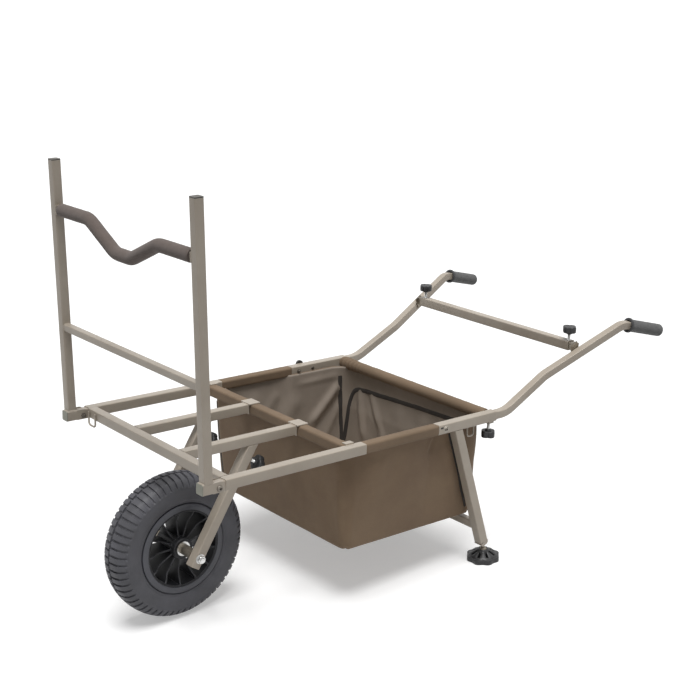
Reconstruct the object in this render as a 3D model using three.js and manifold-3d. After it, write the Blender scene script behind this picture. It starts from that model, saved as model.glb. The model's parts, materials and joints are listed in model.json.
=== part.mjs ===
// A single-wheel fishing trolley: a tubular deck on one wide wheel and two rear legs, with a fold-down
// front panel that carries a rod rest, a fabric tub hung in the frame and a pair of pull-out handles.
// Millimetres, +Z up. +X runs from the front panel to the handles, and Y is across the trolley.
import * as THREE from 'three';
import { mergeVertices } from 'three/addons/utils/BufferGeometryUtils.js';
import Module from 'manifold-3d';

const wasm = await Module();
wasm.setup();

// Deck tubes. The deck's own axes start at the front ends of the side rails, with z = 0 on their tops.
const trackWidth = 616;
const railSize = 25;
const railWall = 1.8;
const cornerRadius = 2.4;
const cornerSteps = 2;
const railLength = 455;
const hemBarSetback = 38;
const sleeveStart = 686;
const sleeveLength = 198;
const barSize = 24;
const barWall = 1.6;

// Clearances, weld overlaps and the overrun of a cut
const seam = 0.3;
const slideGap = 0.4;
const boltGap = 0.3;
const weld = 1;
const overrun = 5;

const half = trackWidth / 2;
const railY = half - railSize / 2;
const railMid = -railSize / 2;
const innerFace = half - railSize;
const barReach = innerFace - seam;
const boreSize = railSize - 2 * railWall;
const innerSize = boreSize - 2 * slideGap;
const innerWall = 1.6;
const sleeveEnd = sleeveStart + sleeveLength;
const hemBarX = railLength - hemBarSetback;
const sides = [['left', -1], ['right', 1]];

// Facet counts
const roundFacets = 14;
const boltFacets = 10;
const hexFacets = 6;
const wheelFacets = 40;
const hubFacets = 20;
const arcSteps = 4;

// Wheel, fork line and rear legs
const tyreRadius = 178.5;
const wheelX = 124.8;
const wheelDrop = 273.8;
const strutY = 98.3;
const strutAngle = THREE.MathUtils.degToRad(31);
const legTopX = 754.6;
const legAngle = THREE.MathUtils.degToRad(19.16);
const legLength = 355.5;
const studReach = 19.3;
const ballHeight = 26;

// The deck slopes so that the wheel and both mud feet stand on the ground.
const ballX = legTopX + (legLength + studReach) * Math.sin(legAngle);
const ballDrop = railSize + (legLength + studReach) * Math.cos(legAngle);
const footRun = ballX - wheelX;
const footFall = ballDrop - wheelDrop;
const slope = Math.asin((tyreRadius - ballHeight) / Math.hypot(footRun, footFall))
  - Math.atan2(footFall, footRun);
const deckHeight = tyreRadius + wheelX * Math.sin(slope) + wheelDrop * Math.cos(slope);

// Geometry helpers
const vec = (x, y, z) => new THREE.Vector3(x, y, z);

function solid(geometry) {
  const bare = new THREE.BufferGeometry().setAttribute('position', geometry.getAttribute('position'));
  bare.setIndex(geometry.getIndex());
  const merged = mergeVertices(bare);
  const index = merged.index.array;
  const triVerts = [];
  for (let i = 0; i < index.length; i += 3) {
    const [a, b, c] = index.slice(i, i + 3);
    if (a !== b && b !== c && c !== a) triVerts.push(a, b, c);
  }
  return new wasm.Manifold(new wasm.Mesh({
    numProp: 3,
    vertProperties: merged.attributes.position.array,
    triVerts: Uint32Array.from(triVerts),
  }));
}

function surface(body) {
  const mesh = body.getMesh();
  const geometry = new THREE.BufferGeometry();
  geometry.setAttribute('position', new THREE.BufferAttribute(mesh.vertProperties, 3));
  geometry.setIndex(new THREE.BufferAttribute(mesh.triVerts, 1));
  geometry.computeVertexNormals();
  return geometry;
}

const join = (first, ...others) => surface(
  others.reduce((body, other) => body.add(solid(other)), solid(first)));
const cut = (first, ...tools) => surface(
  tools.reduce((body, tool) => body.subtract(solid(tool)), solid(first)));
const clip = (first, second) => surface(solid(first).intersect(solid(second)));

function box(low, high) {
  const size = high.clone().sub(low);
  const middle = low.clone().add(high).divideScalar(2);
  return new THREE.BoxGeometry(size.x, size.y, size.z).translate(middle.x, middle.y, middle.z);
}

// A box about a line on one side of the trolley
function sideBox(sign, y, halfWidth, x0, x1, z0, z1) {
  return box(vec(x0, sign * y - halfWidth, z0), vec(x1, sign * y + halfWidth, z1));
}

// A straight round bar between two points
function rod(radius, from, to, facets = roundFacets) {
  const along = to.clone().sub(from);
  const middle = from.clone().add(to).divideScalar(2);
  const turn = new THREE.Quaternion().setFromUnitVectors(vec(0, 1, 0), along.clone().normalize());
  return new THREE.CylinderGeometry(radius, radius, along.length(), facets)
    .applyQuaternion(turn)
    .translate(middle.x, middle.y, middle.z);
}

// A closed outline turned about the line that leaves a point in a direction
function turned(profile, facets, origin, direction) {
  const points = profile.map(([radius, height]) => new THREE.Vector2(radius, height));
  const turn = new THREE.Quaternion().setFromUnitVectors(vec(0, 1, 0), direction.clone().normalize());
  return new THREE.LatheGeometry(points, facets).applyQuaternion(turn).translate(origin.x, origin.y, origin.z);
}

// A hollow round sleeve, from a point and along a direction
function sleeveRing(bore, radius, length, facets, origin, direction) {
  const section = [[bore, 0], [radius, 0], [radius, length], [bore, length], [bore, 0]];
  return turned(section, facets, origin, direction);
}

// The corners at negative x can have a radius of their own.
function roundedRectangle(width, height, corner, steps = cornerSteps, otherCorner = corner) {
  const points = [];
  for (let quarter = 0; quarter < 4; quarter++) {
    const start = quarter * Math.PI / 2;
    const signX = Math.sign(Math.cos(start + Math.PI / 4));
    const radius = signX < 0 ? otherCorner : corner;
    const centreX = signX * (width / 2 - radius);
    const centreY = Math.sign(Math.sin(start + Math.PI / 4)) * (height / 2 - radius);
    for (let step = 0; step <= steps; step++) {
      const angle = start + step / steps * Math.PI / 2;
      points.push(new THREE.Vector2(centreX + radius * Math.cos(angle), centreY + radius * Math.sin(angle)));
    }
  }
  return points;
}

// The section of a square tube with a square bore
function tubeSection(size, wall) {
  const shape = new THREE.Shape(roundedRectangle(size, size, cornerRadius));
  const bore = size / 2 - wall;
  shape.holes.push(new THREE.Path([[-bore, -bore], [-bore, bore], [bore, bore], [bore, -bore]]
    .map(([x, y]) => new THREE.Vector2(x, y))));
  return shape;
}

const solidSection = (width, height, corner) => new THREE.Shape(roundedRectangle(width, height, corner));

function roundSection(radius, facets, boreRadius = 0, boreFacets = facets) {
  const ring = (r, count) => Array.from({ length: count }, (_, i) => new THREE.Vector2(
    r * Math.cos(2 * Math.PI * i / count), r * Math.sin(2 * Math.PI * i / count)));
  const shape = new THREE.Shape(ring(radius, facets));
  if (boreRadius) shape.holes.push(new THREE.Path(ring(boreRadius, boreFacets).reverse()));
  return shape;
}

// Extrudes a section from one point to another. The section's x lies across the trolley,
// or along it when the run itself goes across.
function alongLine(section, from, to) {
  const along = to.clone().sub(from);
  const forward = along.clone().normalize();
  const across = Math.abs(forward.y) > Math.SQRT1_2 ? vec(1, 0, 0) : vec(0, 1, 0);
  const third = forward.clone().cross(across).normalize();
  return new THREE.ExtrudeGeometry(section, { depth: along.length(), bevelEnabled: false })
    .applyMatrix4(new THREE.Matrix4().makeBasis(across, third, forward).setPosition(from));
}

const squareTube = (size, wall, from, to) => alongLine(tubeSection(size, wall), from, to);

// A path of straight runs joined by arcs, with stations only at the ends of runs and on the arcs.
// The bends have one radius, or a list of their radii.
class BentPath extends THREE.Curve {
  constructor(corners, bendRadii) {
    super();
    const last = corners.length - 1;
    const direction = (i) => corners[i + 1].clone().sub(corners[i]).normalize();
    this.stations = [[corners[0], direction(0)]];
    for (let i = 1; i < last; i++) {
      const before = direction(i - 1);
      const after = direction(i);
      const turn = before.angleTo(after);
      const bendRadius = bendRadii[i - 1] ?? bendRadii;
      const start = corners[i].clone().addScaledVector(before, -bendRadius * Math.tan(turn / 2));
      const inward = after.clone().addScaledVector(before, -Math.cos(turn)).normalize();
      const centre = start.clone().addScaledVector(inward, bendRadius);
      for (let step = 0; step <= arcSteps; step++) {
        const angle = turn * step / arcSteps;
        const point = centre.clone().addScaledVector(inward, -bendRadius * Math.cos(angle))
          .addScaledVector(before, bendRadius * Math.sin(angle));
        const tangent = before.clone().multiplyScalar(Math.cos(angle)).addScaledVector(inward, Math.sin(angle));
        this.stations.push([point, tangent]);
      }
    }
    this.stations.push([corners[last], direction(last - 1)]);
    this.steps = this.stations.length - 1;
  }

  getPoint(share) {
    return this.stations[Math.round(share * this.steps)][0].clone();
  }

  getPointAt(share) {
    return this.getPoint(share);
  }

  getTangent(share) {
    return this.stations[Math.round(share * this.steps)][1].clone();
  }

  getTangentAt(share) {
    return this.getTangent(share);
  }
}

function alongPath(section, path) {
  return new THREE.ExtrudeGeometry(section, { steps: path.steps, extrudePath: path, bevelEnabled: false });
}

// A flat outline in X and Z, given a thickness in Y about a middle plane
function plate(shape, thickness, middleY) {
  const settings = { depth: thickness, bevelEnabled: false, curveSegments: roundFacets / 2 };
  return new THREE.ExtrudeGeometry(shape, settings)
    .rotateX(Math.PI / 2)
    .translate(0, middleY + thickness / 2, 0);
}

// A body from rings of points that all run the same way round. The first and last rings close to a point.
function ringBody(rings) {
  const count = rings[0].length;
  const positions = rings.flat().flatMap((point) => point.toArray());
  const index = [];
  for (let ring = 0; ring < rings.length - 1; ring++) {
    for (let i = 0; i < count; i++) {
      const next = (i + 1) % count;
      const [near, far] = [ring * count, (ring + 1) * count];
      index.push(near + i, near + next, far + next, near + i, far + next, far + i);
    }
  }
  const geometry = new THREE.BufferGeometry();
  geometry.setAttribute('position', new THREE.Float32BufferAttribute(positions, 3));
  geometry.setIndex(index);
  return geometry;
}

// Finishes
const paint = { color: 0x8f8578, roughness: 0.42, metalness: 0.35 };
const zinc = { color: 0xb9b6a6, roughness: 0.3, metalness: 0.9 };
const knobBlack = { color: 0x232426, roughness: 0.5, metalness: 0 };
const taupePlastic = { color: 0x8b8375, roughness: 0.55, metalness: 0 };
const darkBolt = { color: 0x4a4642, roughness: 0.45, metalness: 0.7 };
const tyreRubber = { color: 0x4b4b51, roughness: 0.75, metalness: 0 };
const rimBlack = { color: 0x2c2d31, roughness: 0.55, metalness: 0 };
const restFoamBrown = { color: 0x4c443f, roughness: 0.95, metalness: 0 };
const gripGrey = { color: 0x5c5c5c, roughness: 0.9, metalness: 0 };
const fabric = { color: 0x6a5848, roughness: 0.9, metalness: 0 };

// Groups: the deck slopes, and the front panel leans forward on it.
const trolley = new THREE.Group();
const deck = new THREE.Group();
deck.rotation.y = slope;
deck.position.z = deckHeight;
trolley.add(deck);

const uprightX = 16.2;
const uprightLean = THREE.MathUtils.degToRad(2.326);
const panel = new THREE.Group();
panel.rotation.y = -uprightLean;
panel.position.x = uprightX;
deck.add(panel);

function add(parent, name, finish, geometry) {
  const mesh = new THREE.Mesh(geometry, new THREE.MeshStandardMaterial(finish));
  mesh.name = name;
  parent.add(mesh);
  return mesh;
}

// A bolt across a tube: a domed head outside, a plain shank and a nut inside
const headDome = 3.4;
const headRadiusShare = 1.75;
const domeShares = [[1, 0], [1, 0.35], [0.84, 0.75], [0.5, 1]];
const nutRadiusShare = 1.7;
const nutHeight = 5;

function crossBolt(sign, radius, x, z) {
  const outer = half + seam;
  const inner = innerFace - seam;
  const headRadius = radius * headRadiusShare;
  const dome = domeShares.map(([r, h]) => [r * headRadius, h * headDome]);
  const head = turned([[0, 0], ...dome, [0, headDome]], boltFacets, vec(x, sign * outer, z), vec(0, sign, 0));
  const shank = rod(radius, vec(x, sign * (outer + headDome / 2), z),
    vec(x, sign * (inner - nutHeight / 2), z), boltFacets);
  const nut = rod(radius * nutRadiusShare, vec(x, sign * inner, z), vec(x, sign * (inner - nutHeight), z),
    hexFacets);
  return join(shank, head, nut);
}

// Side rails: square tube with a hinge tongue let into the front end, rounded about the pivot bolt
const pivotX = 44;
const pivotDrop = 15.3;
const pivotRadius = 4;
const tongueBack = 82;
const tongueWall = 1.8;
const shoulderGap = 1;
const shoulderX = pivotX + pivotDrop + shoulderGap;
const collarLength = 12;
const collarSize = railSize - railWall;
const collarWall = (collarSize - innerSize) / 2 + tongueWall / 2;

const lugBefore = 6;
const lugBehind = 18;
const [lugStart, lugEnd] = [hemBarX - lugBefore, hemBarX + lugBehind];
const lugIn = 13;
const lugThickness = 2.5;
const lugWall = 1.8;
const lugDrop = 6;

// The lug's wall is welded to the rail's inner face, and its flat lies over the hem.
function hemLug(sign) {
  const top = lugThickness;
  const wallMiddle = innerFace + (lugWall - seam) / 2;
  const flatMiddle = innerFace + lugWall - (lugIn + lugWall) / 2;
  return join(sideBox(sign, wallMiddle, lugWall / 2, lugStart, lugEnd, -lugDrop, top),
    sideBox(sign, flatMiddle, (lugIn + lugWall) / 2, lugStart, lugEnd, 0, top));
}

function sideRail(sign) {
  const y = sign * railY;
  const tube = squareTube(railSize, railWall, vec(shoulderX, y, railMid), vec(railLength, y, railMid));
  const collar = squareTube(collarSize, collarWall, vec(shoulderX, y, railMid),
    vec(shoulderX + collarLength, y, railMid));
  const tongue = squareTube(innerSize, tongueWall, vec(pivotX, y, railMid), vec(tongueBack, y, railMid));
  const nose = clip(
    squareTube(innerSize, tongueWall, vec(pivotX - pivotDrop, y, railMid), vec(pivotX + weld, y, railMid)),
    rod(pivotDrop, vec(pivotX, y - railSize, -pivotDrop), vec(pivotX, y + railSize, -pivotDrop), hubFacets));
  const hole = rod(pivotRadius + boltGap, vec(pivotX, y - railSize, -pivotDrop),
    vec(pivotX, y + railSize, -pivotDrop), boltFacets);
  return cut(join(tube, collar, tongue, nose, hemLug(sign)), hole);
}

for (const [side, sign] of sides) {
  add(deck, `${side}_rail`, paint, sideRail(sign));
  add(deck, `${side}_pivot_bolt`, darkBolt, crossBolt(sign, pivotRadius, pivotX, -pivotDrop));
}

// Front crossbar
const frontBarX = 58.8;

function crossbar(frontX, size, wall, top) {
  const [x, z] = [frontX + size / 2, top - size / 2];
  return squareTube(size, wall, vec(x, -barReach, z), vec(x, barReach, z));
}

add(deck, 'front_crossbar', paint, crossbar(frontBarX, barSize, barWall, 0));

// Mid bars: each ends in a flange and a saddle plate over the tub's front hem, and carries a spigot
// below for a fork strut.
const midBarSetback = 18;
const midBarEnd = hemBarX - midBarSetback;
const saddleThickness = 2.5;
const saddleLength = 32;
const saddleWidth = 38;
const flangeWidth = 26;
const flangeDepth = 25;
const spigotLength = 74;

const strutUp = vec(Math.sin(strutAngle), 0, Math.cos(strutAngle));
const strutBack = vec(Math.cos(strutAngle), 0, -Math.sin(strutAngle));
const strutPoint = (sign, along) => vec(wheelX, sign * strutY, -wheelDrop).addScaledVector(strutUp, along);
const strutSeat = (wheelDrop - barSize) / Math.cos(strutAngle);

function midBar(sign) {
  const barMid = -barSize / 2;
  const tube = squareTube(barSize, barWall, vec(frontBarX + barSize + seam, sign * strutY, barMid),
    vec(midBarEnd + weld, sign * strutY, barMid));
  const flange = sideBox(sign, strutY, flangeWidth / 2, midBarEnd, midBarEnd + saddleThickness,
    -flangeDepth, saddleThickness);
  const saddle = sideBox(sign, strutY, saddleWidth / 2, midBarEnd, midBarEnd + saddleLength, 0, saddleThickness);
  const spigot = squareTube(innerSize, railWall, strutPoint(sign, strutSeat - spigotLength),
    strutPoint(sign, strutSeat + barSize));
  const above = sideBox(sign, strutY, barSize, frontBarX, midBarEnd, -barSize + weld, barSize);
  return join(tube, flange, saddle, cut(spigot, above));
}

for (const [side, sign] of sides) add(deck, `${side}_mid_bar`, paint, midBar(sign));

// Rear deck crossbar, inside the tub's front hem
const hemBarSize = 20;
const hemSize = 27;
const hemBarZ = -seam - hemSize / 2;

add(deck, 'rear_deck_crossbar', paint,
  crossbar(hemBarX - hemBarSize / 2, hemBarSize, barWall, hemBarZ + hemBarSize / 2));

// Side tubes inside the tub's side hems, let into the rails in front and into the sleeves behind
const innerStart = 375;
const innerEnd = 735;
const sleeveBoltX = 709;
const sleeveBoltRadius = 3;

function sleeveBoltHole(sign) {
  return rod(sleeveBoltRadius + boltGap, vec(sleeveBoltX, sign * railY - railSize, railMid),
    vec(sleeveBoltX, sign * railY + railSize, railMid), boltFacets);
}

function sideTube(sign) {
  const tube = squareTube(innerSize, innerWall, vec(innerStart, sign * railY, railMid),
    vec(innerEnd, sign * railY, railMid));
  return cut(tube, sleeveBoltHole(sign));
}

// Rear sleeves, with a welded nut below for the clamping knob
const knobX = 869;
const weldNutSize = 18;
const weldNutHeight = 5;
const studRadius = 4;

function rearSleeve(sign) {
  const y = sign * railY;
  const tube = squareTube(railSize, railWall, vec(sleeveStart, y, railMid), vec(sleeveEnd, y, railMid));
  const nut = sideBox(sign, railY, weldNutSize / 2, knobX - weldNutSize / 2, knobX + weldNutSize / 2,
    -railSize - weldNutHeight, -railSize + railWall / 2);
  const studHole = rod(studRadius + boltGap, vec(knobX, y, -railSize - weldNutHeight - overrun),
    vec(knobX, y, railMid), boltFacets);
  return cut(join(tube, nut), studHole, sleeveBoltHole(sign));
}

for (const [side, sign] of sides) {
  add(deck, `${side}_side_tube`, paint, sideTube(sign));
  add(deck, `${side}_rear_sleeve`, paint, rearSleeve(sign));
  add(deck, `${side}_sleeve_bolt`, darkBolt, crossBolt(sign, sleeveBoltRadius, sleeveBoltX, railMid));
}

// Rear crossbar: a round tube inside the tub's rear hem
const rearTubeX = 869;
const rearTubeRadius = 10;

add(deck, 'rear_crossbar', paint, alongLine(
  roundSection(rearTubeRadius, roundFacets, rearTubeRadius - barWall),
  vec(rearTubeX, -barReach, railMid), vec(rearTubeX, barReach, railMid)));

// Rear legs lean back. Each ends in a solid rounded block, drilled for the foot's stud.
const legEndRadius = 8;
const legEndHeight = 11;
const legDown = vec(Math.sin(legAngle), 0, -Math.cos(legAngle));
const legPoint = (sign, along) => vec(legTopX, sign * railY, -railSize).addScaledVector(legDown, along);

function leg(sign) {
  const endFoot = legPoint(sign, legLength - legEndHeight);
  const tube = squareTube(railSize, railWall, legPoint(sign, -railSize), endFoot);
  const above = sideBox(sign, railY, railSize, legTopX - 2 * railSize, legTopX + 2 * railSize,
    -railSize - seam, railSize);
  const reach = railSize / 2;
  const end = new THREE.Shape();
  end.moveTo(-reach, weld);
  end.absarc(-reach + legEndRadius, -legEndHeight + legEndRadius, legEndRadius, Math.PI, 3 * Math.PI / 2, false);
  end.absarc(reach - legEndRadius, -legEndHeight + legEndRadius, legEndRadius, -Math.PI / 2, 0, false);
  end.lineTo(reach, weld);
  const block = plate(end, railSize - 2 * seam, 0).rotateY(-legAngle).translate(endFoot.x, endFoot.y, endFoot.z);
  const hole = rod(studRadius + boltGap, legPoint(sign, legLength - 2 * legEndHeight),
    legPoint(sign, legLength + overrun), boltFacets);
  return cut(join(cut(tube, above), block), hole);
}

const legBraceAt = 297;
const legBraceSize = 20;

function legBrace() {
  const middle = legPoint(0, legBraceAt);
  return squareTube(legBraceSize, barWall, middle.clone().setY(-barReach), middle.clone().setY(barReach));
}

for (const [side, sign] of sides) add(deck, `${side}_leg`, paint, leg(sign));
add(deck, 'leg_brace', paint, legBrace());

// Lashing loops: bent wire staples on the front crossbar's face and under the rear sleeves
const loopWire = 2.4;
const loopBend = 8;
const loopFacets = 8;
const frontLoopY = 262;
const frontLoopBelow = 6;
const frontLoopWidth = 36;
const frontLoopDrop = 36;
const rearLoopX = 805;
const rearLoopWidth = 27;
const rearLoopDrop = 30;

function lashingLoop(top, across, width, drop) {
  const side = across.clone().multiplyScalar(width / 2 - loopWire);
  const down = vec(0, 0, loopWire - drop);
  const [first, last] = [top.clone().sub(side), top.clone().add(side)];
  const corners = [first, first.clone().add(down), last.clone().add(down), last];
  return alongPath(roundSection(loopWire, loopFacets), new BentPath(corners, loopBend));
}

for (const [side, sign] of sides) {
  const frontTop = vec(frontBarX - seam - loopWire, sign * frontLoopY, -frontLoopBelow);
  const rearTop = vec(rearLoopX, sign * railY, -railSize - seam);
  add(deck, `${side}_front_loop`, paint, lashingLoop(frontTop, vec(0, 1, 0), frontLoopWidth, frontLoopDrop));
  add(deck, `${side}_rear_loop`, paint, lashingLoop(rearTop, vec(1, 0, 0), rearLoopWidth, rearLoopDrop));
}

// Fabric tub: tapered walls and a floor, hung from hems round the four bars of its mouth
const clothThickness = 2.5;
const tubTopDrop = 19.5;
const tubDepth = 266.5;
const tubFrontIn = 3;
const tubFrontTaper = 22;
const tubRearTaper = 7;
const tubSideTaper = 20.7;
const tubFrontCornerTop = 48;
const tubFrontCornerBottom = 22;
const tubRearCornerTop = 56;
const tubRearCornerBottom = 18;
const tubBulge = 15;
const tubBulgeInset = 2;
const tubBulgeSteps = 8;
const tubEdge = 12;
const tubEdgeShares = [[1, 0], [0.3, 0.3], [0, 1]];
const sideHemInner = 281.9;
const sideHemOuter = 308.5;
const sideHemHeight = 25.6;
const hemCorner = 4;
const hemClearance = 0.3;
const rearHemRadius = 15;

// One ring of the tub at a depth below its mouth. Between the rails and the sleeves the side walls bulge
// out under their hems, most at the mouth.
function tubRing(depth, inset) {
  const share = depth / tubDepth;
  const front = hemBarX - tubFrontIn + tubFrontTaper * share + inset;
  const rear = rearTubeX - tubRearTaper * share - inset;
  const halfWidth = barReach - tubSideTaper * share - inset;
  const corner = (top, bottom) => THREE.MathUtils.lerp(top, bottom, share) - inset / 2;
  const z = -tubTopDrop - depth;
  const outline = roundedRectangle(rear - front, 2 * halfWidth, corner(tubRearCornerTop, tubRearCornerBottom),
    arcSteps, corner(tubFrontCornerTop, tubFrontCornerBottom))
    .map((point) => vec(point.x + (front + rear) / 2, point.y, z));
  const wall = (from, to, sign) => Array.from({ length: tubBulgeSteps + 1 }, (_, i) => {
    const along = i / tubBulgeSteps;
    const bulge = tubBulge * (1 - share) * (1 - (2 * along - 1) ** 4);
    return vec(THREE.MathUtils.lerp(from, to, along), sign * (halfWidth + bulge), z);
  });
  const [bulgeFront, bulgeRear] = [railLength + tubBulgeInset, sleeveStart - tubBulgeInset];
  const [first, third] = [1, 3].map((corners) => corners * (arcSteps + 1));
  return [...outline.slice(0, first), ...wall(bulgeRear, bulgeFront, 1), ...outline.slice(first, third),
    ...wall(bulgeFront, bulgeRear, -1), ...outline.slice(third)];
}

function tubShell() {
  const middleX = (hemBarX + tubFrontTaper + rearTubeX - tubRearTaper) / 2;
  const middle = tubRing(0, 0).map(() => vec(middleX, 0, -tubTopDrop - tubDepth));
  const floor = middle.map((point) => point.clone().setZ(point.z + clothThickness));
  const outer = tubEdgeShares.map(([inset, rise]) => tubRing(tubDepth - rise * tubEdge, inset * tubEdge));
  const inner = tubEdgeShares.map(([inset, rise]) => tubRing(
    tubDepth - clothThickness - rise * tubEdge, inset * tubEdge + clothThickness));
  return ringBody([middle, ...outer, tubRing(0, 0), tubRing(0, clothThickness), ...inner.reverse(), floor]);
}

function sideHem(sign) {
  const section = solidSection(sideHemOuter - sideHemInner, sideHemHeight, hemCorner);
  const y = sign * (sideHemInner + sideHemOuter) / 2;
  return alongLine(section, vec(railLength + seam, y, railMid), vec(sleeveStart - seam, y, railMid));
}

function tub() {
  const reach = barReach - hemClearance;
  const [front, rear] = [(y) => vec(hemBarX, y, hemBarZ), (y) => vec(rearTubeX, y, railMid)];
  const frontHem = alongLine(solidSection(hemSize, hemSize, hemCorner), front(-reach), front(reach));
  const rearHem = alongLine(roundSection(rearHemRadius, roundFacets), rear(-reach), rear(reach));
  const frontBore = hemBarSize + 2 * hemClearance;
  const sideBore = innerSize + 2 * hemClearance;
  const bores = [
    alongLine(solidSection(frontBore, frontBore, cornerRadius), front(-half), front(half)),
    alongLine(roundSection(rearTubeRadius + hemClearance, roundFacets), rear(-half), rear(half)),
    ...sides.map(([, sign]) => alongLine(solidSection(sideBore, sideBore, cornerRadius),
      vec(railLength - overrun, sign * railY, railMid), vec(sleeveStart + overrun, sign * railY, railMid))),
  ];
  return cut(join(tubShell(), frontHem, rearHem, sideHem(-1), sideHem(1)), ...bores);
}

add(deck, 'tub', fabric, tub());

// Front panel: each upright stands on a foot of the rail's section. Behind the upright only the
// foot's side walls go on, as two ears round the pivot bolt.
const uprightSize = 22.5;
const uprightWall = 1.8;
const uprightHeight = 614;
const uprightY = half - uprightSize / 2;
const plugLip = 1.7;
const footPlateEnd = 28.2;

function ear(sign, y) {
  const lower = railSize - pivotDrop;
  const reach = Math.sqrt(pivotDrop ** 2 - lower ** 2);
  const shape = new THREE.Shape();
  shape.moveTo(footPlateEnd - weld, 0);
  shape.lineTo(footPlateEnd - weld, -railSize);
  shape.absarc(pivotX, -pivotDrop, pivotDrop, -Math.atan2(lower, reach), Math.PI / 2, false);
  return plate(shape, railWall, sign * y);
}

function upright(sign) {
  const post = squareTube(uprightSize, uprightWall, vec(0, sign * uprightY, -railWall / 2),
    vec(0, sign * uprightY, uprightHeight)).rotateY(-uprightLean).translate(uprightX, 0, 0);
  const foot = squareTube(railSize, railWall, vec(plugLip + seam, sign * railY, railMid),
    vec(footPlateEnd, sign * railY, railMid));
  const ears = [half - railWall / 2, innerFace + railWall / 2].map((y) => ear(sign, y));
  const hole = rod(pivotRadius + boltGap, vec(pivotX, sign * (innerFace - overrun), -pivotDrop),
    vec(pivotX, sign * (half + overrun), -pivotDrop), boltFacets);
  return cut(join(foot, ...ears, post), hole);
}

const capHeight = 3;
const plugDepth = 12;

function uprightCap(sign) {
  const plugHalf = uprightSize / 2 - uprightWall - seam;
  const top = alongLine(solidSection(uprightSize, uprightSize, cornerRadius),
    vec(0, sign * uprightY, uprightHeight + seam), vec(0, sign * uprightY, uprightHeight + capHeight));
  const plug = sideBox(sign, uprightY, plugHalf, -plugHalf, plugHalf, uprightHeight - plugDepth,
    uprightHeight + capHeight / 2);
  return join(top, plug);
}

function footPlug(sign) {
  const plugHalf = boreSize / 2 - seam;
  const lipSize = railSize - 2 * seam;
  const lip = alongLine(solidSection(lipSize, lipSize, cornerRadius),
    vec(0, sign * railY, railMid), vec(plugLip, sign * railY, railMid));
  const plug = sideBox(sign, railY, plugHalf, plugLip / 2, plugLip + plugDepth,
    railMid - plugHalf, railMid + plugHalf);
  return join(lip, plug);
}

const panelBarSize = 17.6;
const panelBarTop = 222;
const panelInner = half - uprightSize - seam;

function panelBar() {
  const z = panelBarTop - panelBarSize / 2;
  return squareTube(panelBarSize, barWall, vec(0, -panelInner, z), vec(0, panelInner, z));
}

for (const [side, sign] of sides) {
  add(deck, `${side}_upright`, paint, upright(sign));
  add(panel, `${side}_upright_cap`, taupePlastic, uprightCap(sign));
  add(deck, `${side}_foot_plug`, taupePlastic, footPlug(sign));
}
add(panel, 'panel_crossbar', paint, panelBar());

// Rod rest: a bar bent down into a wide dip, welded to a plate on each upright, in a foam sleeve.
// Its left side sits a little lower.
const restHeight = 499;
const restLeftDrop = 8;
const restDip = 59;
const restFlatY = 146;
const restDipY = 34;
const restBend = 60;
const restTubeRadius = 8;
const restFacets = 12;
const foamRadius = 15.5;
const foamEnd = 276;
const foamFacets = 14;
const restPlateThickness = 3;

function restPath(end) {
  const low = restHeight - restDip;
  const left = restHeight - restLeftDrop;
  return new BentPath([vec(0, -end, left), vec(0, -restFlatY, left), vec(0, -restDipY, low),
    vec(0, restDipY, low), vec(0, restFlatY, restHeight), vec(0, end, restHeight)], restBend);
}

function rodRest() {
  const bar = alongPath(roundSection(restTubeRadius, restFacets), restPath(panelInner - restPlateThickness / 2));
  const plates = sides.map(([, sign]) => {
    const middle = sign < 0 ? restHeight - restLeftDrop : restHeight;
    return sideBox(sign, panelInner - restPlateThickness / 2, restPlateThickness / 2,
      -uprightSize / 2, uprightSize / 2, middle - uprightSize / 2, middle + uprightSize / 2);
  });
  return join(bar, ...plates);
}

add(panel, 'rod_rest_bar', paint, rodRest());
add(panel, 'rod_rest_foam', restFoamBrown, alongPath(
  roundSection(foamRadius, foamFacets, restTubeRadius + seam, restFacets), restPath(foamEnd)));

// Fork: two struts that slip over the spigots, a through axle with a nut, and a spacer on each side
const strutEnd = 25;
const axleRadius = 6;
const spacerRadius = 13;
const axleHeadRadius = 10;
const axleHeadHeight = 8;
const axleTail = 4;
const washerRadius = 12;
const washerThickness = 2;
const hubHalf = 41;
const forkKnobBelow = 34;
const axleAt = (y) => vec(wheelX, y, -wheelDrop);
const forkKnobPoint = (sign, out) => strutPoint(sign, strutSeat - forkKnobBelow).addScaledVector(strutBack, out);

function strut(sign) {
  const tube = squareTube(railSize, railWall, strutPoint(sign, -strutEnd),
    strutPoint(sign, strutSeat + railSize));
  const above = sideBox(sign, strutY, railSize, 0, railLength, -barSize - seam, railSize);
  const nut = rod(weldNutSize / 2, forkKnobPoint(sign, (railSize - railWall) / 2),
    forkKnobPoint(sign, railSize / 2 + weldNutHeight), hexFacets);
  const studHole = rod(studRadius + boltGap, forkKnobPoint(sign, 0), forkKnobPoint(sign, railSize), boltFacets);
  const axleHole = rod(axleRadius + boltGap, axleAt(sign * strutY - railSize), axleAt(sign * strutY + railSize));
  return cut(join(cut(tube, above), nut), studHole, axleHole);
}

const strutOuter = strutY + railSize / 2 + seam;
const washerOuter = strutOuter + washerThickness;
const headOuter = washerOuter + axleHeadHeight;

function axle() {
  const shaft = rod(axleRadius, axleAt(-headOuter - axleTail), axleAt(washerOuter + axleHeadHeight / 2));
  const washer = rod(washerRadius, axleAt(strutOuter), axleAt(washerOuter));
  const head = rod(axleHeadRadius, axleAt(washerOuter - weld), axleAt(headOuter), hexFacets);
  return join(shaft, washer, head);
}

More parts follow.
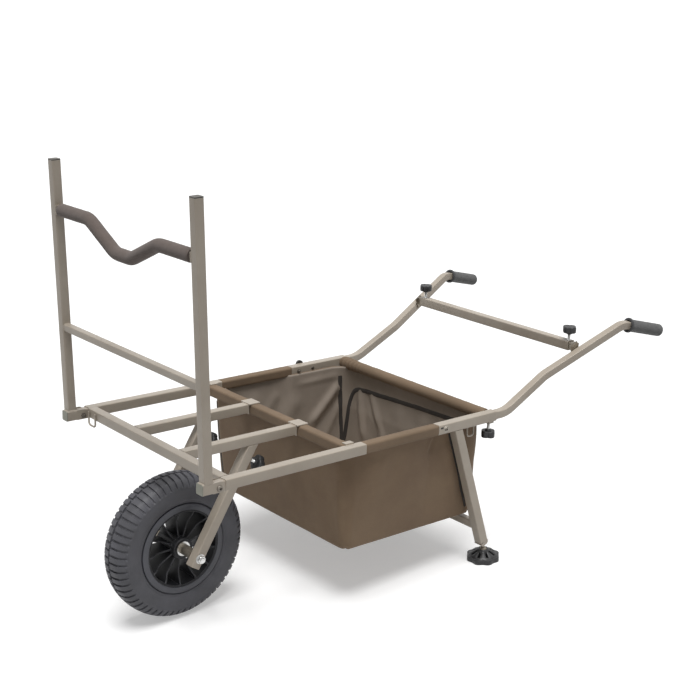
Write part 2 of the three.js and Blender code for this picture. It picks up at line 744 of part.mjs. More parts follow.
function axleNut() {
  const washer = rod(washerRadius, axleAt(-strutOuter), axleAt(-washerOuter));
  const nut = rod(axleHeadRadius, axleAt(-washerOuter + weld), axleAt(-headOuter), hexFacets);
  const bore = rod(axleRadius + boltGap, axleAt(-strutOuter + overrun), axleAt(-headOuter - overrun));
  return cut(join(washer, nut), bore);
}

function spacer(sign) {
  const start = hubHalf + seam;
  return sleeveRing(axleRadius + boltGap, spacerRadius, strutY - railSize / 2 - seam - start, roundFacets,
    axleAt(sign * start), vec(0, sign, 0));
}

for (const [side, sign] of sides) {
  add(deck, `${side}_fork_strut`, paint, strut(sign));
  add(deck, `${side}_axle_spacer`, zinc, spacer(sign));
}
add(deck, 'axle', zinc, axle());
add(deck, 'axle_nut', zinc, axleNut());

// Rim: a hub, a flanged barrel and thin radial ribs whose edges dish inwards between hub and barrel
const rimFlangeRadius = 112;
const rimHalfWidth = 42;
const barrelInner = 92;
const barrelOuter = 97;
const flangeThickness = 6;
const hubRadius = 26;
const bushRadius = 18;
const bushLength = 16;
const ribCount = 13;
const ribThickness = 4;
const ribHubHalf = 27;
const ribRimHalf = 40;
const ribDishRadius = 62;
const ribBendRadius = 84;
const ribFirstAngle = THREE.MathUtils.degToRad(57.3);
const ribBendSteps = 4;
const crossAxis = vec(0, 1, 0);

function rimRib(angle) {
  const shape = new THREE.Shape();
  shape.moveTo(hubRadius - weld, ribHubHalf);
  shape.lineTo(hubRadius - weld, -ribHubHalf);
  shape.lineTo(ribDishRadius, -ribHubHalf);
  shape.quadraticCurveTo(ribBendRadius, -ribHubHalf, barrelInner + weld, -ribRimHalf);
  shape.lineTo(barrelInner + weld, ribRimHalf);
  shape.quadraticCurveTo(ribBendRadius, ribHubHalf, ribDishRadius, ribHubHalf);
  const settings = { depth: ribThickness, bevelEnabled: false, curveSegments: ribBendSteps };
  return new THREE.ExtrudeGeometry(shape, settings)
    .translate(0, 0, -ribThickness / 2)
    .rotateY(-angle)
    .translate(wheelX, 0, -wheelDrop);
}

function rim() {
  const inside = rimHalfWidth - flangeThickness;
  const hub = sleeveRing(bushRadius + seam, hubRadius, 2 * hubHalf, hubFacets, axleAt(-hubHalf), crossAxis);
  const barrel = turned([[barrelInner, -rimHalfWidth], [rimFlangeRadius, -rimHalfWidth],
    [rimFlangeRadius, -inside], [barrelOuter, -inside], [barrelOuter, inside], [rimFlangeRadius, inside],
    [rimFlangeRadius, rimHalfWidth], [barrelInner, rimHalfWidth], [barrelInner, -rimHalfWidth]],
    wheelFacets, axleAt(0), crossAxis);
  const ribs = Array.from({ length: ribCount }, (_, i) => rimRib(ribFirstAngle + 2 * Math.PI * i / ribCount));
  return join(barrel, hub, ...ribs);
}

function bush(sign) {
  return sleeveRing(axleRadius + boltGap, bushRadius, bushLength, hubFacets,
    axleAt(sign * hubHalf), vec(0, -sign, 0));
}

// Tyre: a hollow carcass with rows of lugs that run from the shoulders to a narrow centre groove
const tyreHalf = 44.5;
const treadDepth = 4.5;
const treadHalf = 28;
const grooveHalf = 2.2;
const treadRoot = 5;
const treadShare = 0.72;
const carcassThickness = 8;
const beadRadius = barrelOuter + seam;
const beadHalf = rimHalfWidth - flangeThickness - seam;
const beadWidth = 14;
const flangeClear = rimFlangeRadius + 2 * seam;
const carcassRadius = tyreRadius - treadDepth;

// Rise from the rim flange as a share of the sidewall, and half width as a share of the tyre's
const sidewallShares = [[0.04, 0.9], [0.3, 0.99], [0.58, 0.97], [0.88, 0.68]];
const shoulderShares = [[0.61, 0.965], [0.87, 0.74]];
const sidePoint = ([rise, width]) => [THREE.MathUtils.lerp(flangeClear, carcassRadius, rise), width * tyreHalf];

function tyreCarcass() {
  const outer = [[beadRadius, beadHalf], [flangeClear, beadHalf], ...sidewallShares.map(sidePoint),
    [carcassRadius, 0]];
  const inner = [[beadRadius, beadHalf - beadWidth],
    ...sidewallShares.slice(1).map(sidePoint).map(([r, y]) => [r - carcassThickness, y - carcassThickness]),
    [carcassRadius - carcassThickness, 0]];
  const mirror = (points) => points.map(([r, y]) => [r, -y]);
  const profile = [...mirror(outer), ...outer.toReversed().slice(1), ...inner,
    ...mirror(inner).toReversed().slice(1)];
  return turned([...profile, profile[0]], wheelFacets, axleAt(0), crossAxis);
}

function treadLug(sign, angle) {
  const shoulder = shoulderShares.map(sidePoint);
  const crown = (y) => tyreRadius - (treadHalf - y) * treadDepth / tyreRadius;
  const outline = [...shoulder.map(([r, y]) => [r + treadDepth * r / tyreRadius, y]),
    [crown(grooveHalf), grooveHalf], [carcassRadius - treadRoot, grooveHalf],
    ...shoulder.toReversed().map(([r, y]) => [r - treadRoot, y - treadRoot])];
  const shape = new THREE.Shape(outline.map(([r, y]) => new THREE.Vector2(r, sign * y)));
  const width = 2 * Math.PI * tyreRadius / wheelFacets * treadShare;
  return new THREE.ExtrudeGeometry(shape, { depth: width, bevelEnabled: false })
    .translate(0, 0, -width / 2)
    .rotateY(angle)
    .translate(wheelX, 0, -wheelDrop);
}

function tyre() {
  const lugs = Array.from({ length: wheelFacets }, (_, i) => (i + 0.5) * 2 * Math.PI / wheelFacets)
    .flatMap((angle) => [treadLug(-1, angle), treadLug(1, angle)]);
  return join(tyreCarcass(), ...lugs);
}

add(deck, 'rim', rimBlack, rim());
add(deck, 'tyre', tyreRubber, tyre());
for (const [side, sign] of sides) add(deck, `${side}_hub_bush`, zinc, bush(sign));

// Mud feet: a ball stud fixed in each leg, and a level eight-sided pad that swivels on the ball.
// Slots part the pad's top into lobes.
const ballRadius = 10;
const ballSteps = 8;
const padRadius = 41.5;
const padLobe = 2;
const padLobes = 8;
const padThickness = 13;
const padOutlinePoints = 32;
const domeFootRadius = 37;
const domeRadius = 17;
const domeShoulder = 24;
const domeTopRadius = 14;
const domeTop = 29.5;
const socketGap = 0.4;
const slotWidth = 6;
const slotStart = 15.5;
const slotEnd = 31;
const slotFloor = 9;
const studInset = 9;

function footStud(sign) {
  const middle = legPoint(sign, legLength + studReach);
  const ball = new THREE.SphereGeometry(ballRadius, roundFacets, ballSteps)
    .translate(middle.x, middle.y, middle.z);
  return join(ball, rod(studRadius, middle, legPoint(sign, legLength - studInset), boltFacets));
}

function footPad() {
  const outline = Array.from({ length: padOutlinePoints }, (_, i) => {
    const angle = 2 * Math.PI * i / padOutlinePoints;
    const radius = padRadius - padLobe * Math.cos(padLobes * angle);
    return new THREE.Vector2(radius * Math.cos(angle), radius * Math.sin(angle));
  });
  const base = new THREE.ExtrudeGeometry(new THREE.Shape(outline), { depth: padThickness, bevelEnabled: false });
  const dome = turned([[0, weld], [domeFootRadius, weld], [domeFootRadius, padThickness],
    [domeRadius, domeShoulder], [domeTopRadius, domeTop], [0, domeTop]], hubFacets, vec(0, 0, 0), vec(0, 0, 1));
  const slots = Array.from({ length: padLobes }, (_, i) => box(vec(slotStart, -slotWidth / 2, slotFloor),
    vec(slotEnd, slotWidth / 2, domeTop)).rotateZ(2 * Math.PI * (i + 1 / 2) / padLobes));
  const socket = new THREE.SphereGeometry(ballRadius + socketGap, hubFacets, ballSteps)
    .translate(0, 0, ballHeight);
  return cut(join(base, dome), socket, ...slots);
}

const padX = ballX * Math.cos(slope) - ballDrop * Math.sin(slope);
for (const [side, sign] of sides) {
  add(deck, `${side}_foot_stud`, zinc, footStud(sign));
  add(trolley, `${side}_foot_pad`, knobBlack, footPad()).position.set(padX, sign * railY, 0);
}

// Handles: bent tubes that slide in the rear sleeves, each with a foam grip
const handleStart = 745;
const handleBends = [90, 90, 50];
const handleRiseX = 925.6;
const kneeX = 1067;
const kneeIn = 2.5;
const kneeHeight = 60;
const handleTopX = 1308.5;
const handleTopOut = 46;
const handleTopHeight = 173;
const gripShares = [1, 0.12, -0.24];
const handleRise = vec(handleRiseX, railY, railMid);
const handleKnee = vec(kneeX, railY - kneeIn, kneeHeight);
const handleTop = vec(handleTopX, railY + handleTopOut, handleTopHeight);
const gripDirection = vec(...gripShares).normalize();
const gripFromBend = 19;
const gripLength = 124;
const gripTubeLength = 112;
const gripRadius = 16.8;
const gripBore = 14;
const gripEndRound = 6;
const gripCollarRadius = 20;
const gripCollarLength = 5;
const mirrored = (sign, point) => vec(point.x, sign * point.y, point.z);

function handlePath(sign) {
  const end = handleTop.clone().addScaledVector(gripDirection, gripFromBend + gripTubeLength);
  const corners = [vec(handleStart, railY, railMid), handleRise, handleKnee, handleTop, end];
  return new BentPath(corners.map((point) => mirrored(sign, point)), handleBends);
}

function grip(sign) {
  const start = mirrored(sign, handleTop.clone().addScaledVector(gripDirection, gripFromBend));
  const outline = [[gripBore, 0], [gripCollarRadius, 0], [gripCollarRadius, gripCollarLength],
    [gripRadius, gripCollarLength], [gripRadius, gripLength - gripEndRound],
    [gripRadius - gripEndRound / 3, gripLength - gripEndRound / 3], [gripRadius - gripEndRound, gripLength],
    [0, gripLength], [0, gripTubeLength + seam], [gripBore, gripTubeLength + seam], [gripBore, 0]];
  return turned(outline, hubFacets, start, mirrored(sign, gripDirection));
}

// Handle brace: a tube that slips over a zinc bracket on the inner face of each handle
const braceX = 1171;
const braceAbove = 14.5;
const braceEndIn = 27.9;
const bracketKnobIn = 8;
const bracketStub = 30;
const bracketWall = 3;
const bracketPlate = 3;
const bracketPlateLength = 25;
const bracketPlateLow = 4;
const bracketPlateHigh = 26;
const besideBrace = handleKnee.clone().lerp(handleTop, (braceX - kneeX) / (handleTopX - kneeX));
const braceZ = besideBrace.z + braceAbove;
const braceHalf = besideBrace.y - braceEndIn;
const bracketKnobY = braceHalf - bracketKnobIn;
const bracketIn = braceHalf - bracketStub;
const kneeStation = 2 * (arcSteps + 1);

function bracket(sign) {
  const path = handlePath(sign);
  const frames = path.computeFrenetFrames(path.steps, false);
  const across = [frames.normals[kneeStation], frames.binormals[kneeStation]]
    .toSorted((a, b) => Math.abs(b.y) - Math.abs(a.y))[0];
  const outward = across.clone().multiplyScalar(sign * Math.sign(across.y));
  const forward = frames.tangents[kneeStation];
  const knee = mirrored(sign, handleKnee);
  const middle = knee.clone().addScaledVector(forward, (braceX - knee.x) / forward.x)
    .addScaledVector(outward, -innerSize / 2 - 2 * seam - bracketPlate);
  const place = new THREE.Matrix4()
    .makeBasis(forward, outward, forward.clone().cross(outward)).setPosition(middle);
  const [below, above] = sign > 0 ? [bracketPlateLow, bracketPlateHigh] : [bracketPlateHigh, bracketPlateLow];
  const face = box(vec(-bracketPlateLength / 2, 0, -below), vec(bracketPlateLength / 2, bracketPlate, above))
    .applyMatrix4(place);
  const beyond = box(vec(-half, bracketPlate / 2, -half), vec(half, half, half)).applyMatrix4(place);
  const stub = squareTube(innerSize, bracketWall, vec(braceX, sign * bracketIn, braceZ),
    vec(braceX, sign * (bracketIn + handleKnee.y / 2), braceZ));
  const hole = rod(studRadius + boltGap, vec(braceX, sign * bracketKnobY, braceZ),
    vec(braceX, sign * bracketKnobY, braceZ + railSize), boltFacets);
  return cut(join(cut(stub, beyond), face), hole);
}

for (const [side, sign] of sides) {
  add(deck, `${side}_handle`, paint, alongPath(tubeSection(innerSize, innerWall), handlePath(sign)));
  add(deck, `${side}_grip`, gripGrey, grip(sign));
  add(deck, `${side}_brace_bracket`, zinc, bracket(sign));
}
add(deck, 'handle_brace', paint, cut(
  squareTube(railSize, railWall, vec(braceX, -braceHalf, braceZ), vec(braceX, braceHalf, braceZ)),
  ...sides.map(([, sign]) => rod(studRadius + boltGap, vec(braceX, sign * bracketKnobY, braceZ),
    vec(braceX, sign * bracketKnobY, braceZ + railSize), boltFacets))));

// Clamping knobs: a four-lobed head on a screwed stud
const knobRadius = 17.4;
const knobLobe = 1.6;
const knobLobes = 4;
const knobHeight = 17;
const knobBevel = 2.4;
const knobPoints = 20;
const bossRadius = 8;
const bossHeight = 4;
const sleeveKnobStudIn = 6.4;
const sleeveKnobHead = 20.5;
const forkKnobStudIn = 6.6;
const forkKnobHead = 18.6;
const braceKnobStudIn = 5;
const braceKnobHead = 23;

function lobedKnob(origin, direction, studIn, headFrom) {
  const at = (along) => origin.clone().addScaledVector(direction, along);
  const outline = Array.from({ length: knobPoints }, (_, i) => {
    const angle = 2 * Math.PI * i / knobPoints;
    const radius = knobRadius - knobBevel + knobLobe * Math.cos(knobLobes * angle);
    return new THREE.Vector2(radius * Math.cos(angle), radius * Math.sin(angle));
  });
  const start = at(headFrom + knobBevel);
  const head = new THREE.ExtrudeGeometry(new THREE.Shape(outline), {
    depth: knobHeight - 2 * knobBevel,
    bevelThickness: knobBevel,
    bevelSize: knobBevel,
    bevelSegments: 1,
  }).applyQuaternion(new THREE.Quaternion().setFromUnitVectors(vec(0, 0, 1), direction))
    .translate(start.x, start.y, start.z);
  const boss = rod(bossRadius, at(headFrom - bossHeight), at(headFrom + knobBevel), boltFacets);
  const stud = rod(studRadius, at(-studIn), at(headFrom + knobHeight / 2), boltFacets);
  return join(stud, boss, head);
}

for (const [side, sign] of sides) {
  const underSleeve = vec(knobX, sign * railY, -railSize - weldNutHeight);
  const overBracket = vec(braceX, sign * bracketKnobY, braceZ + innerSize / 2);
  const behindStrut = forkKnobPoint(sign, railSize / 2 + weldNutHeight);
  add(deck, `${side}_handle_knob`, knobBlack,
    lobedKnob(underSleeve, vec(0, 0, -1), sleeveKnobStudIn, sleeveKnobHead));
  add(deck, `${side}_brace_knob`, knobBlack,
    lobedKnob(overBracket, vec(0, 0, 1), braceKnobStudIn, braceKnobHead));
  add(deck, `${side}_fork_knob`, knobBlack, lobedKnob(behindStrut, strutBack, forkKnobStudIn, forkKnobHead));
}

// The trolley's footprint is centred on its own axes.
trolley.updateMatrixWorld(true);
const footprint = new THREE.Box3().setFromObject(trolley, true).getCenter(vec(0, 0, 0));
for (const child of trolley.children) child.position.x -= footprint.x;

export default trolley;
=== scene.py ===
import bisect
import json
from math import asin, copysign, cos, exp, pi, radians, sin, sqrt, tan, tau

import bpy
from mathutils import Matrix, Vector, noise
from mathutils.bvhtree import BVHTree


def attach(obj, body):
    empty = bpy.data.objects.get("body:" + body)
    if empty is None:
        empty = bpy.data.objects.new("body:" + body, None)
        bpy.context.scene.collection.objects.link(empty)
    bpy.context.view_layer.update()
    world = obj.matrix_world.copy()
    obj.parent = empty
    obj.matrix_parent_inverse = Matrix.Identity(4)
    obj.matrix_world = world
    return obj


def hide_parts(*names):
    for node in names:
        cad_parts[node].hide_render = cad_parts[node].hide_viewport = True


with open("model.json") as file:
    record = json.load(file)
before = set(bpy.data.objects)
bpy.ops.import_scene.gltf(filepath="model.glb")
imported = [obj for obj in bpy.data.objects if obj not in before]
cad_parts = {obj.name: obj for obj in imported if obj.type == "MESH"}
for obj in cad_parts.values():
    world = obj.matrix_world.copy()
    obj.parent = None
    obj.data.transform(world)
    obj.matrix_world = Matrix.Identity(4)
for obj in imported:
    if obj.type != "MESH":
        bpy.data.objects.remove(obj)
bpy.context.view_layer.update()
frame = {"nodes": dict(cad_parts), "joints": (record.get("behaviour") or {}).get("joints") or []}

# The trolley stands on its wheel and two mud feet, and its deck slopes down a little towards the rear.
# Lengths are in millimetres in the deck's own axes: X runs back along the side rails from their front
# ends, Y runs across, and Z is up from the tops of the rails. The front panel leans forward on the deck.
joints = {joint["name"]: joint for joint in frame["joints"]}
mm = 0.001
across = Vector((0, 1, 0))
pivot_x, pivot_drop = 44, 15.3
deck_back = Vector(joints["handle_slide"]["axis"]).normalized()
deck_up = deck_back.cross(across)
deck_origin = Vector(joints["panel_fold"]["pos_m"]) - pivot_x * mm * deck_back + pivot_drop * mm * deck_up
deck_axes = Matrix((deck_back, across, deck_up)).transposed().to_4x4()
deck = Matrix.Translation(deck_origin) @ deck_axes @ Matrix.Scale(mm, 4)
upright_x, upright_lean = 16.2, radians(2.326)
panel_axes = deck_axes @ Matrix.Rotation(-upright_lean, 4, "Y")
panel = Matrix.Translation(deck @ Vector((upright_x, 0, 0))) @ panel_axes @ Matrix.Scale(mm, 4)
sides = (("left", -1), ("right", 1))


# The camera stands to the left of the front panel, a little above the handles, and looks down.
camera_from_deck = Vector((-1.4564, -2.5607, 1.1320))
camera_tilt, camera_turn = radians(17.32), radians(-39.55)
camera_lens, sensor_width = 70.14, 36

scene = bpy.context.scene
lens = bpy.data.cameras.new("camera")
lens.lens, lens.sensor_width = camera_lens, sensor_width
lens.clip_start, lens.clip_end = 0.05, 60
camera = bpy.data.objects.new("camera", lens)
camera.matrix_world = (Matrix.Translation(deck_origin) @ panel_axes @ Matrix.Translation(camera_from_deck)
                       @ Matrix.Rotation(camera_turn, 4, "Z")
                       @ Matrix.Rotation(pi / 2 - camera_tilt, 4, "X"))
scene.collection.objects.link(camera)
scene.camera = camera
scene.view_settings.view_transform = "Standard"


# The studio: a white floor that runs on to a white background, and one broad soft lamp above and to the
# left, in even light from all round. The floor keeps the trolley's shadow, and only a pale sheet of it
# round the trolley throws light back.
floor_reach = 30
floor_shown, floor_glow = 0.75, 0.36
sheet_pale, sheet_dark, sheet_reach, sheet_end = 0.60, 0.12, 1.3, 2.4
backdrop_white = (1, 1, 1, 1)
world_light = 0.23
lamp_from = Vector((-0.10, -0.16, 0.80))
lamp_strength, lamp_spread = 2.95, 34


def node(tree, kind, values=(), **settings):
    made = tree.nodes.new("ShaderNode" + kind)
    for name, value in settings.items():
        setattr(made, name, value)
    for socket, value in dict(values).items():
        if isinstance(value, bpy.types.NodeSocket):
            tree.links.new(value, made.inputs[socket])
        else:
            made.inputs[socket].default_value = value
    return made


def worked(tree, operation, *values):
    return node(tree, "Math", enumerate(values), operation=operation).outputs[0]


def ranged(tree, value, start, end, low=0.0, high=1.0):
    """A value that runs from start to end, brought to run from low to high."""
    ends = {"From Min": start, "From Max": end, "To Min": low, "To Max": high}
    return node(tree, "MapRange", {"Value": value, **ends}).outputs[0]


def shown(tree):
    """1 for rays from the camera, off a gloss or through glass, and 0 for rays that light the trolley."""
    ray = node(tree, "LightPath").outputs
    direct = worked(tree, "MAXIMUM", ray["Is Camera Ray"], ray["Is Glossy Ray"])
    return worked(tree, "MAXIMUM", direct, ray["Is Transmission Ray"])


world = bpy.data.worlds.new("studio")
scene.world = world
world.use_nodes = True
world.node_tree.nodes.clear()
tree = world.node_tree
strength = node(tree, "Mix", {"Factor": shown(tree), 2: world_light, 3: 1.0}, data_type="FLOAT")
sky = node(tree, "Background", {"Color": backdrop_white, "Strength": strength.outputs[0]})
tree.links.new(sky.outputs[0], node(tree, "OutputWorld").inputs[0])

floor_mesh = bpy.data.meshes.new("floor")
floor_corners = [(x * floor_reach, y * floor_reach, 0) for x, y in ((-1, -1), (1, -1), (1, 1), (-1, 1))]
floor_mesh.from_pydata(floor_corners, [], [(0, 1, 2, 3)])
floor = bpy.data.objects.new("floor", floor_mesh)
scene.collection.objects.link(floor)
floor_finish = bpy.data.materials.new("studio_floor")
floor_finish.use_nodes = True
tree = floor_finish.node_tree
floor_shader = tree.nodes["Principled BSDF"].inputs
floor_shader["Roughness"].default_value = 0.9
floor_shader["Specular IOR Level"].default_value = 0
floor_shader["Emission Color"].default_value = backdrop_white
from_middle = node(tree, "VectorMath", {0: node(tree, "TexCoord").outputs["Object"]}, operation="LENGTH")
sheet = ranged(tree, from_middle.outputs["Value"], sheet_reach, sheet_end, sheet_pale, sheet_dark)
white = node(tree, "Mix", {"Factor": shown(tree), 6: sheet, 7: (floor_shown, floor_shown, floor_shown, 1)},
             data_type="RGBA")
tree.links.new(white.outputs[2], floor_shader["Base Color"])
tree.links.new(worked(tree, "MULTIPLY", shown(tree), floor_glow), floor_shader["Emission Strength"])
floor_mesh.materials.append(floor_finish)

light = bpy.data.lights.new("soft_lamp", "SUN")
light.energy, light.angle = lamp_strength, radians(lamp_spread)
lamp = bpy.data.objects.new("soft_lamp", light)
lamp.rotation_euler = lamp_from.to_track_quat("Z", "Y").to_euler()
scene.collection.objects.link(lamp)


# The frame is square steel tube in a satin taupe powder coat. Its tubes, loops and brackets keep the CAD
# shapes; their corners are shaded round, and the coat is paler along the edges, in broken patches.
paint_taupe = "b3a99b"
paint_deep = "a89d8f"
paint_pale = "cac2b6"
corner_blur, corner_patches = 1.6, 90.0
split_angle = 50


def linear(code):
    """The linear colour of an sRGB hex code."""
    parts = [int(code[i:i + 2], 16) / 255 for i in (0, 2, 4)]
    return (*[c / 12.92 if c <= 0.04045 else ((c + 0.055) / 1.055) ** 2.4 for c in parts], 1)


def effect(name, inputs, *outputs):
    """An empty shader node group of numbers, with its inputs at their defaults, and its inner sockets."""
    group = bpy.data.node_groups.new(name, "ShaderNodeTree")
    for title, value in inputs.items():
        group.interface.new_socket(title, in_out="INPUT", socket_type="NodeSocketFloat").default_value = value
    for title in outputs:
        group.interface.new_socket(title, in_out="OUTPUT", socket_type="NodeSocketFloat")
    return group, group.nodes.new("NodeGroupInput").outputs, group.nodes.new("NodeGroupOutput").inputs


def speckle(tree, scale, detail, roughness=0.5):
    """A noise over a piece's own coordinates."""
    place = node(tree, "TexCoord").outputs["Object"]
    look = {"Vector": place, "Scale": scale, "Detail": detail, "Roughness": roughness}
    return node(tree, "TexNoise", look).outputs[0]


# Cloudy: a soft patchy value between Low and High, for tone and roughness
cloudy, given, result = effect("cloudy", {"Scale": 12.0, "Low": 0.0, "High": 1.0}, "Value")
patches = speckle(cloudy, given["Scale"], 5.0, 0.6)
cloudy.links.new(ranged(cloudy, patches, 0.32, 0.68, given["Low"], given["High"]), result["Value"])

# Grainy: a fine pebbled height
grainy, given, result = effect("grainy", {"Scale": 900.0, "Depth": 1.0}, "Height")
pebbles = speckle(grainy, given["Scale"], 3.0, 0.55)
grainy.links.new(worked(grainy, "MULTIPLY", pebbles, given["Depth"]), result["Height"])

# Pale edges: 1 on outer corners within Width, broken up by a noise, and 0 elsewhere. On the rim's ribs it is
# a painted highlight
pale_edges, given, result = effect("pale_edge_mask", {"Width": 0.0012, "Break": 90.0}, "Mask")
softened = node(pale_edges, "Bevel", {"Radius": given["Width"]}, samples=6).outputs[0]
sharp = node(pale_edges, "NewGeometry").outputs["Normal"]
facing = node(pale_edges, "VectorMath", {0: softened, 1: sharp}, operation="DOT_PRODUCT").outputs["Value"]
patches = ranged(pale_edges, speckle(pale_edges, given["Break"], 4.0), 0.35, 0.62)
pale_edges.links.new(worked(pale_edges, "MULTIPLY", ranged(pale_edges, facing, 0.995, 0.86), patches), result["Mask"])


def finish(name, **plain):
    """A material and its tree and Principled inputs, with the plain values set."""
    made = bpy.data.materials.new(name)
    made.use_nodes = True
    shader = made.node_tree.nodes["Principled BSDF"].inputs
    for title, value in plain.items():
        shader[title.replace("_", " ")].default_value = value
    return made, made.node_tree, shader


def link_bump(tree, shader, height, strength, distance):
    bump = node(tree, "Bump", {"Height": height, "Strength": strength, "Distance": distance})
    tree.links.new(bump.outputs[0], shader["Normal"])


def toned(tree, dark, light, factor):
    """A colour between two, by a factor socket."""
    return node(tree, "Mix", {"Factor": factor, 6: dark, 7: light}, data_type="RGBA").outputs[2]


def group_value(tree, group, output, **values):
    return node(tree, "Group", values, node_tree=group).outputs[output]


def surface(name, tones, patch_scale, grain=None, gloss=None, edge=None, **plain):
    """A finish that drifts between two tones in patches. Its grain is (scale, strength, depth in metres), its
    drift of roughness (scale, low, high), and its pale edge (colour, width, scale of the breaks)."""
    made, tree, shader = finish(name, **plain)
    patches = group_value(tree, cloudy, "Value", Scale=patch_scale)
    tone = toned(tree, linear(tones[0]), linear(tones[1]), patches)
    if edge:
        mask = group_value(tree, pale_edges, "Mask", Width=edge[1] * mm, Break=edge[2])
        tone = toned(tree, tone, linear(edge[0]), mask)
    tree.links.new(tone, shader["Base Color"])
    if gloss:
        drift = group_value(tree, cloudy, "Value", Scale=gloss[0], Low=gloss[1], High=gloss[2])
        tree.links.new(drift, shader["Roughness"])
    if grain:
        link_bump(tree, shader, group_value(tree, grainy, "Height", Scale=grain[0]), *grain[1:])
    return made


paint = surface("taupe_powder_coat", (paint_deep, paint_taupe), 9.0, (900.0, 0.25, 0.0001),
                (22.0, 0.32, 0.42), (paint_pale, corner_blur, corner_patches), Metallic=0.0, Roughness=0.4)


def dress(name, material):
    """Gives a CAD node its finish, welds its facets together and shades its rounded corners."""
    piece = frame["nodes"][name]
    mesh = piece.data
    for attribute in ("custom_normal", "sharp_face", "sharp_edge"):
        if attribute in mesh.attributes:
            mesh.attributes.remove(mesh.attributes[attribute])
    mesh.materials.clear()
    mesh.materials.append(material)
    weld = piece.modifiers.new("weld", "WELD")
    weld.merge_threshold = 0.00001
    split = piece.modifiers.new("split", "EDGE_SPLIT")
    split.split_angle = radians(split_angle)
    flat = piece.modifiers.new("flat", "WEIGHTED_NORMAL")
    flat.keep_sharp = True


for name in ("rail", "mid_bar", "side_tube", "rear_sleeve", "leg", "front_loop", "rear_loop", "upright",
             "fork_strut", "handle"):
    for side, _ in sides:
        dress(f"{side}_{name}", paint)
for name in ("front_crossbar", "rear_deck_crossbar", "rear_crossbar", "leg_brace", "panel_crossbar",
             "rod_rest_bar", "handle_brace"):
    dress(name, paint)


# Weld beads join the tubes. Each is a small rippled fillet laid in the corner between two tubes, and the
# coat runs over it.
bead_radius, thin_bead_radius = 1.7, 1.2
bead_step = 1.5
bead_facets = 8


def loft(rings, ends="capped"):
    """Skins rings of points that run the same way round. The ends are capped, open or joined."""
    count = len(rings[0])
    points = [point for ring in rings for point in ring]
    faces = []
    for row in range(len(rings) if ends == "joined" else len(rings) - 1):
        low, high = row * count, (row + 1) % len(rings) * count
        faces += [(low + i, low + (i + 1) % count, high + (i + 1) % count, high + i) for i in range(count)]
    if ends == "capped":
        faces += [tuple(reversed(range(count))), tuple(range(len(points) - count, len(points)))]
    return points, faces


def merged(*shapes):
    points, faces = [], []
    for shape_points, shape_faces in shapes:
        faces += [tuple(i + len(points) for i in face) for face in shape_faces]
        points += shape_points
    return points, faces


def polar(radius, turn, height=0.0):
    return Vector((radius * cos(turn), radius * sin(turn), height))


def disc(radius, count, height=0.0):
    return [polar(radius, tau * i / count, height) for i in range(count)]


def piece(name, shape, place, material, body, slot, angle=35):
    """A mesh object in the row frame, shaded smooth up to an angle, that rides on a body."""
    mesh = bpy.data.meshes.new(name)
    mesh.from_pydata([place @ Vector(point) for point in shape[0]], [], shape[1])
    mesh.shade_smooth()
    mesh.set_sharp_from_angle(angle=radians(angle))
    mesh.materials.append(material)
    made = bpy.data.objects.new(name, mesh)
    scene.collection.objects.link(made)
    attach(made, body)
    return made


def bead(start, end, radius=bead_radius):
    """A bead from one point to another, thinner at its ends."""
    run = Vector(end) - Vector(start)
    way = run.normalized()
    hint = Vector((0, 0, 1)) if abs(way.z) < 0.7 else Vector((1, 0, 0))
    normal = (hint - way * hint.dot(way)).normalized()
    side = way.cross(normal)
    count = max(4, round(run.length / bead_step) * 2)
    rings = []
    for i in range(count + 1):
        share = i / count
        ripple = 0.86 + 0.14 * (i % 2) + 0.06 * sin(2.3 * i)
        taper = min(1, 0.35 + 6 * min(share, 1 - share))
        rings.append([Vector(start) + run * share + normal * spot.x + side * spot.y
                      for spot in disc(radius * ripple * taper, bead_facets)])
    return loft(rings)


track = 616
rail = 25
bar = 24
bar_inset = 2
bar_front = 58.8
inner_face = track / 2 - rail
strut_y = 98.3
leg_top_x, leg_lean = 754.6, radians(19.16)
leg_half = rail / 2 / cos(leg_lean)
brace_at, brace_half = 297, 10
brace_x = leg_top_x + brace_at * sin(leg_lean)
brace_z = -rail - brace_at * cos(leg_lean)


def square_beads(wall, x, z, half):
    """The four beads round the end of a square tube that meets a wall across the trolley."""
    inner = half - bar_inset
    beads = []
    for edge in (-half, half):
        beads += [bead((x + edge, wall, z - inner), (x + edge, wall, z + inner)),
                  bead((x - inner, wall, z + edge), (x + inner, wall, z + edge))]
    return beads


deck_beads = []
bar_back = bar_front + bar
for _, sign in sides:
    wall, outside = sign * inner_face, sign * (track / 2 - bar_inset)
    leg_front, leg_back = leg_top_x - leg_half, leg_top_x + leg_half
    strut_from, strut_to = sign * strut_y - bar / 2, sign * strut_y + bar / 2
    deck_beads += [
        bead((bar_front + bar_inset, wall, -bar), (bar_back - bar_inset, wall, -bar)),
        bead((bar_back, strut_from + bar_inset, -bar), (bar_back, strut_to - bar_inset, -bar)),
        bead((leg_front, wall, -rail), (leg_back, wall, -rail), thin_bead_radius)]
    for y in (wall, strut_from, strut_to):
        deck_beads.append(bead((bar_back, y, -bar_inset), (bar_back, y, bar_inset - bar)))
    for x in (leg_front, leg_back):
        deck_beads.append(bead((x, wall + sign * bar_inset, -rail), (x, outside, -rail)))
    deck_beads += square_beads(wall, brace_x, brace_z, brace_half)
piece("deck_welds", merged(*deck_beads), deck, paint, "frame", "paint")

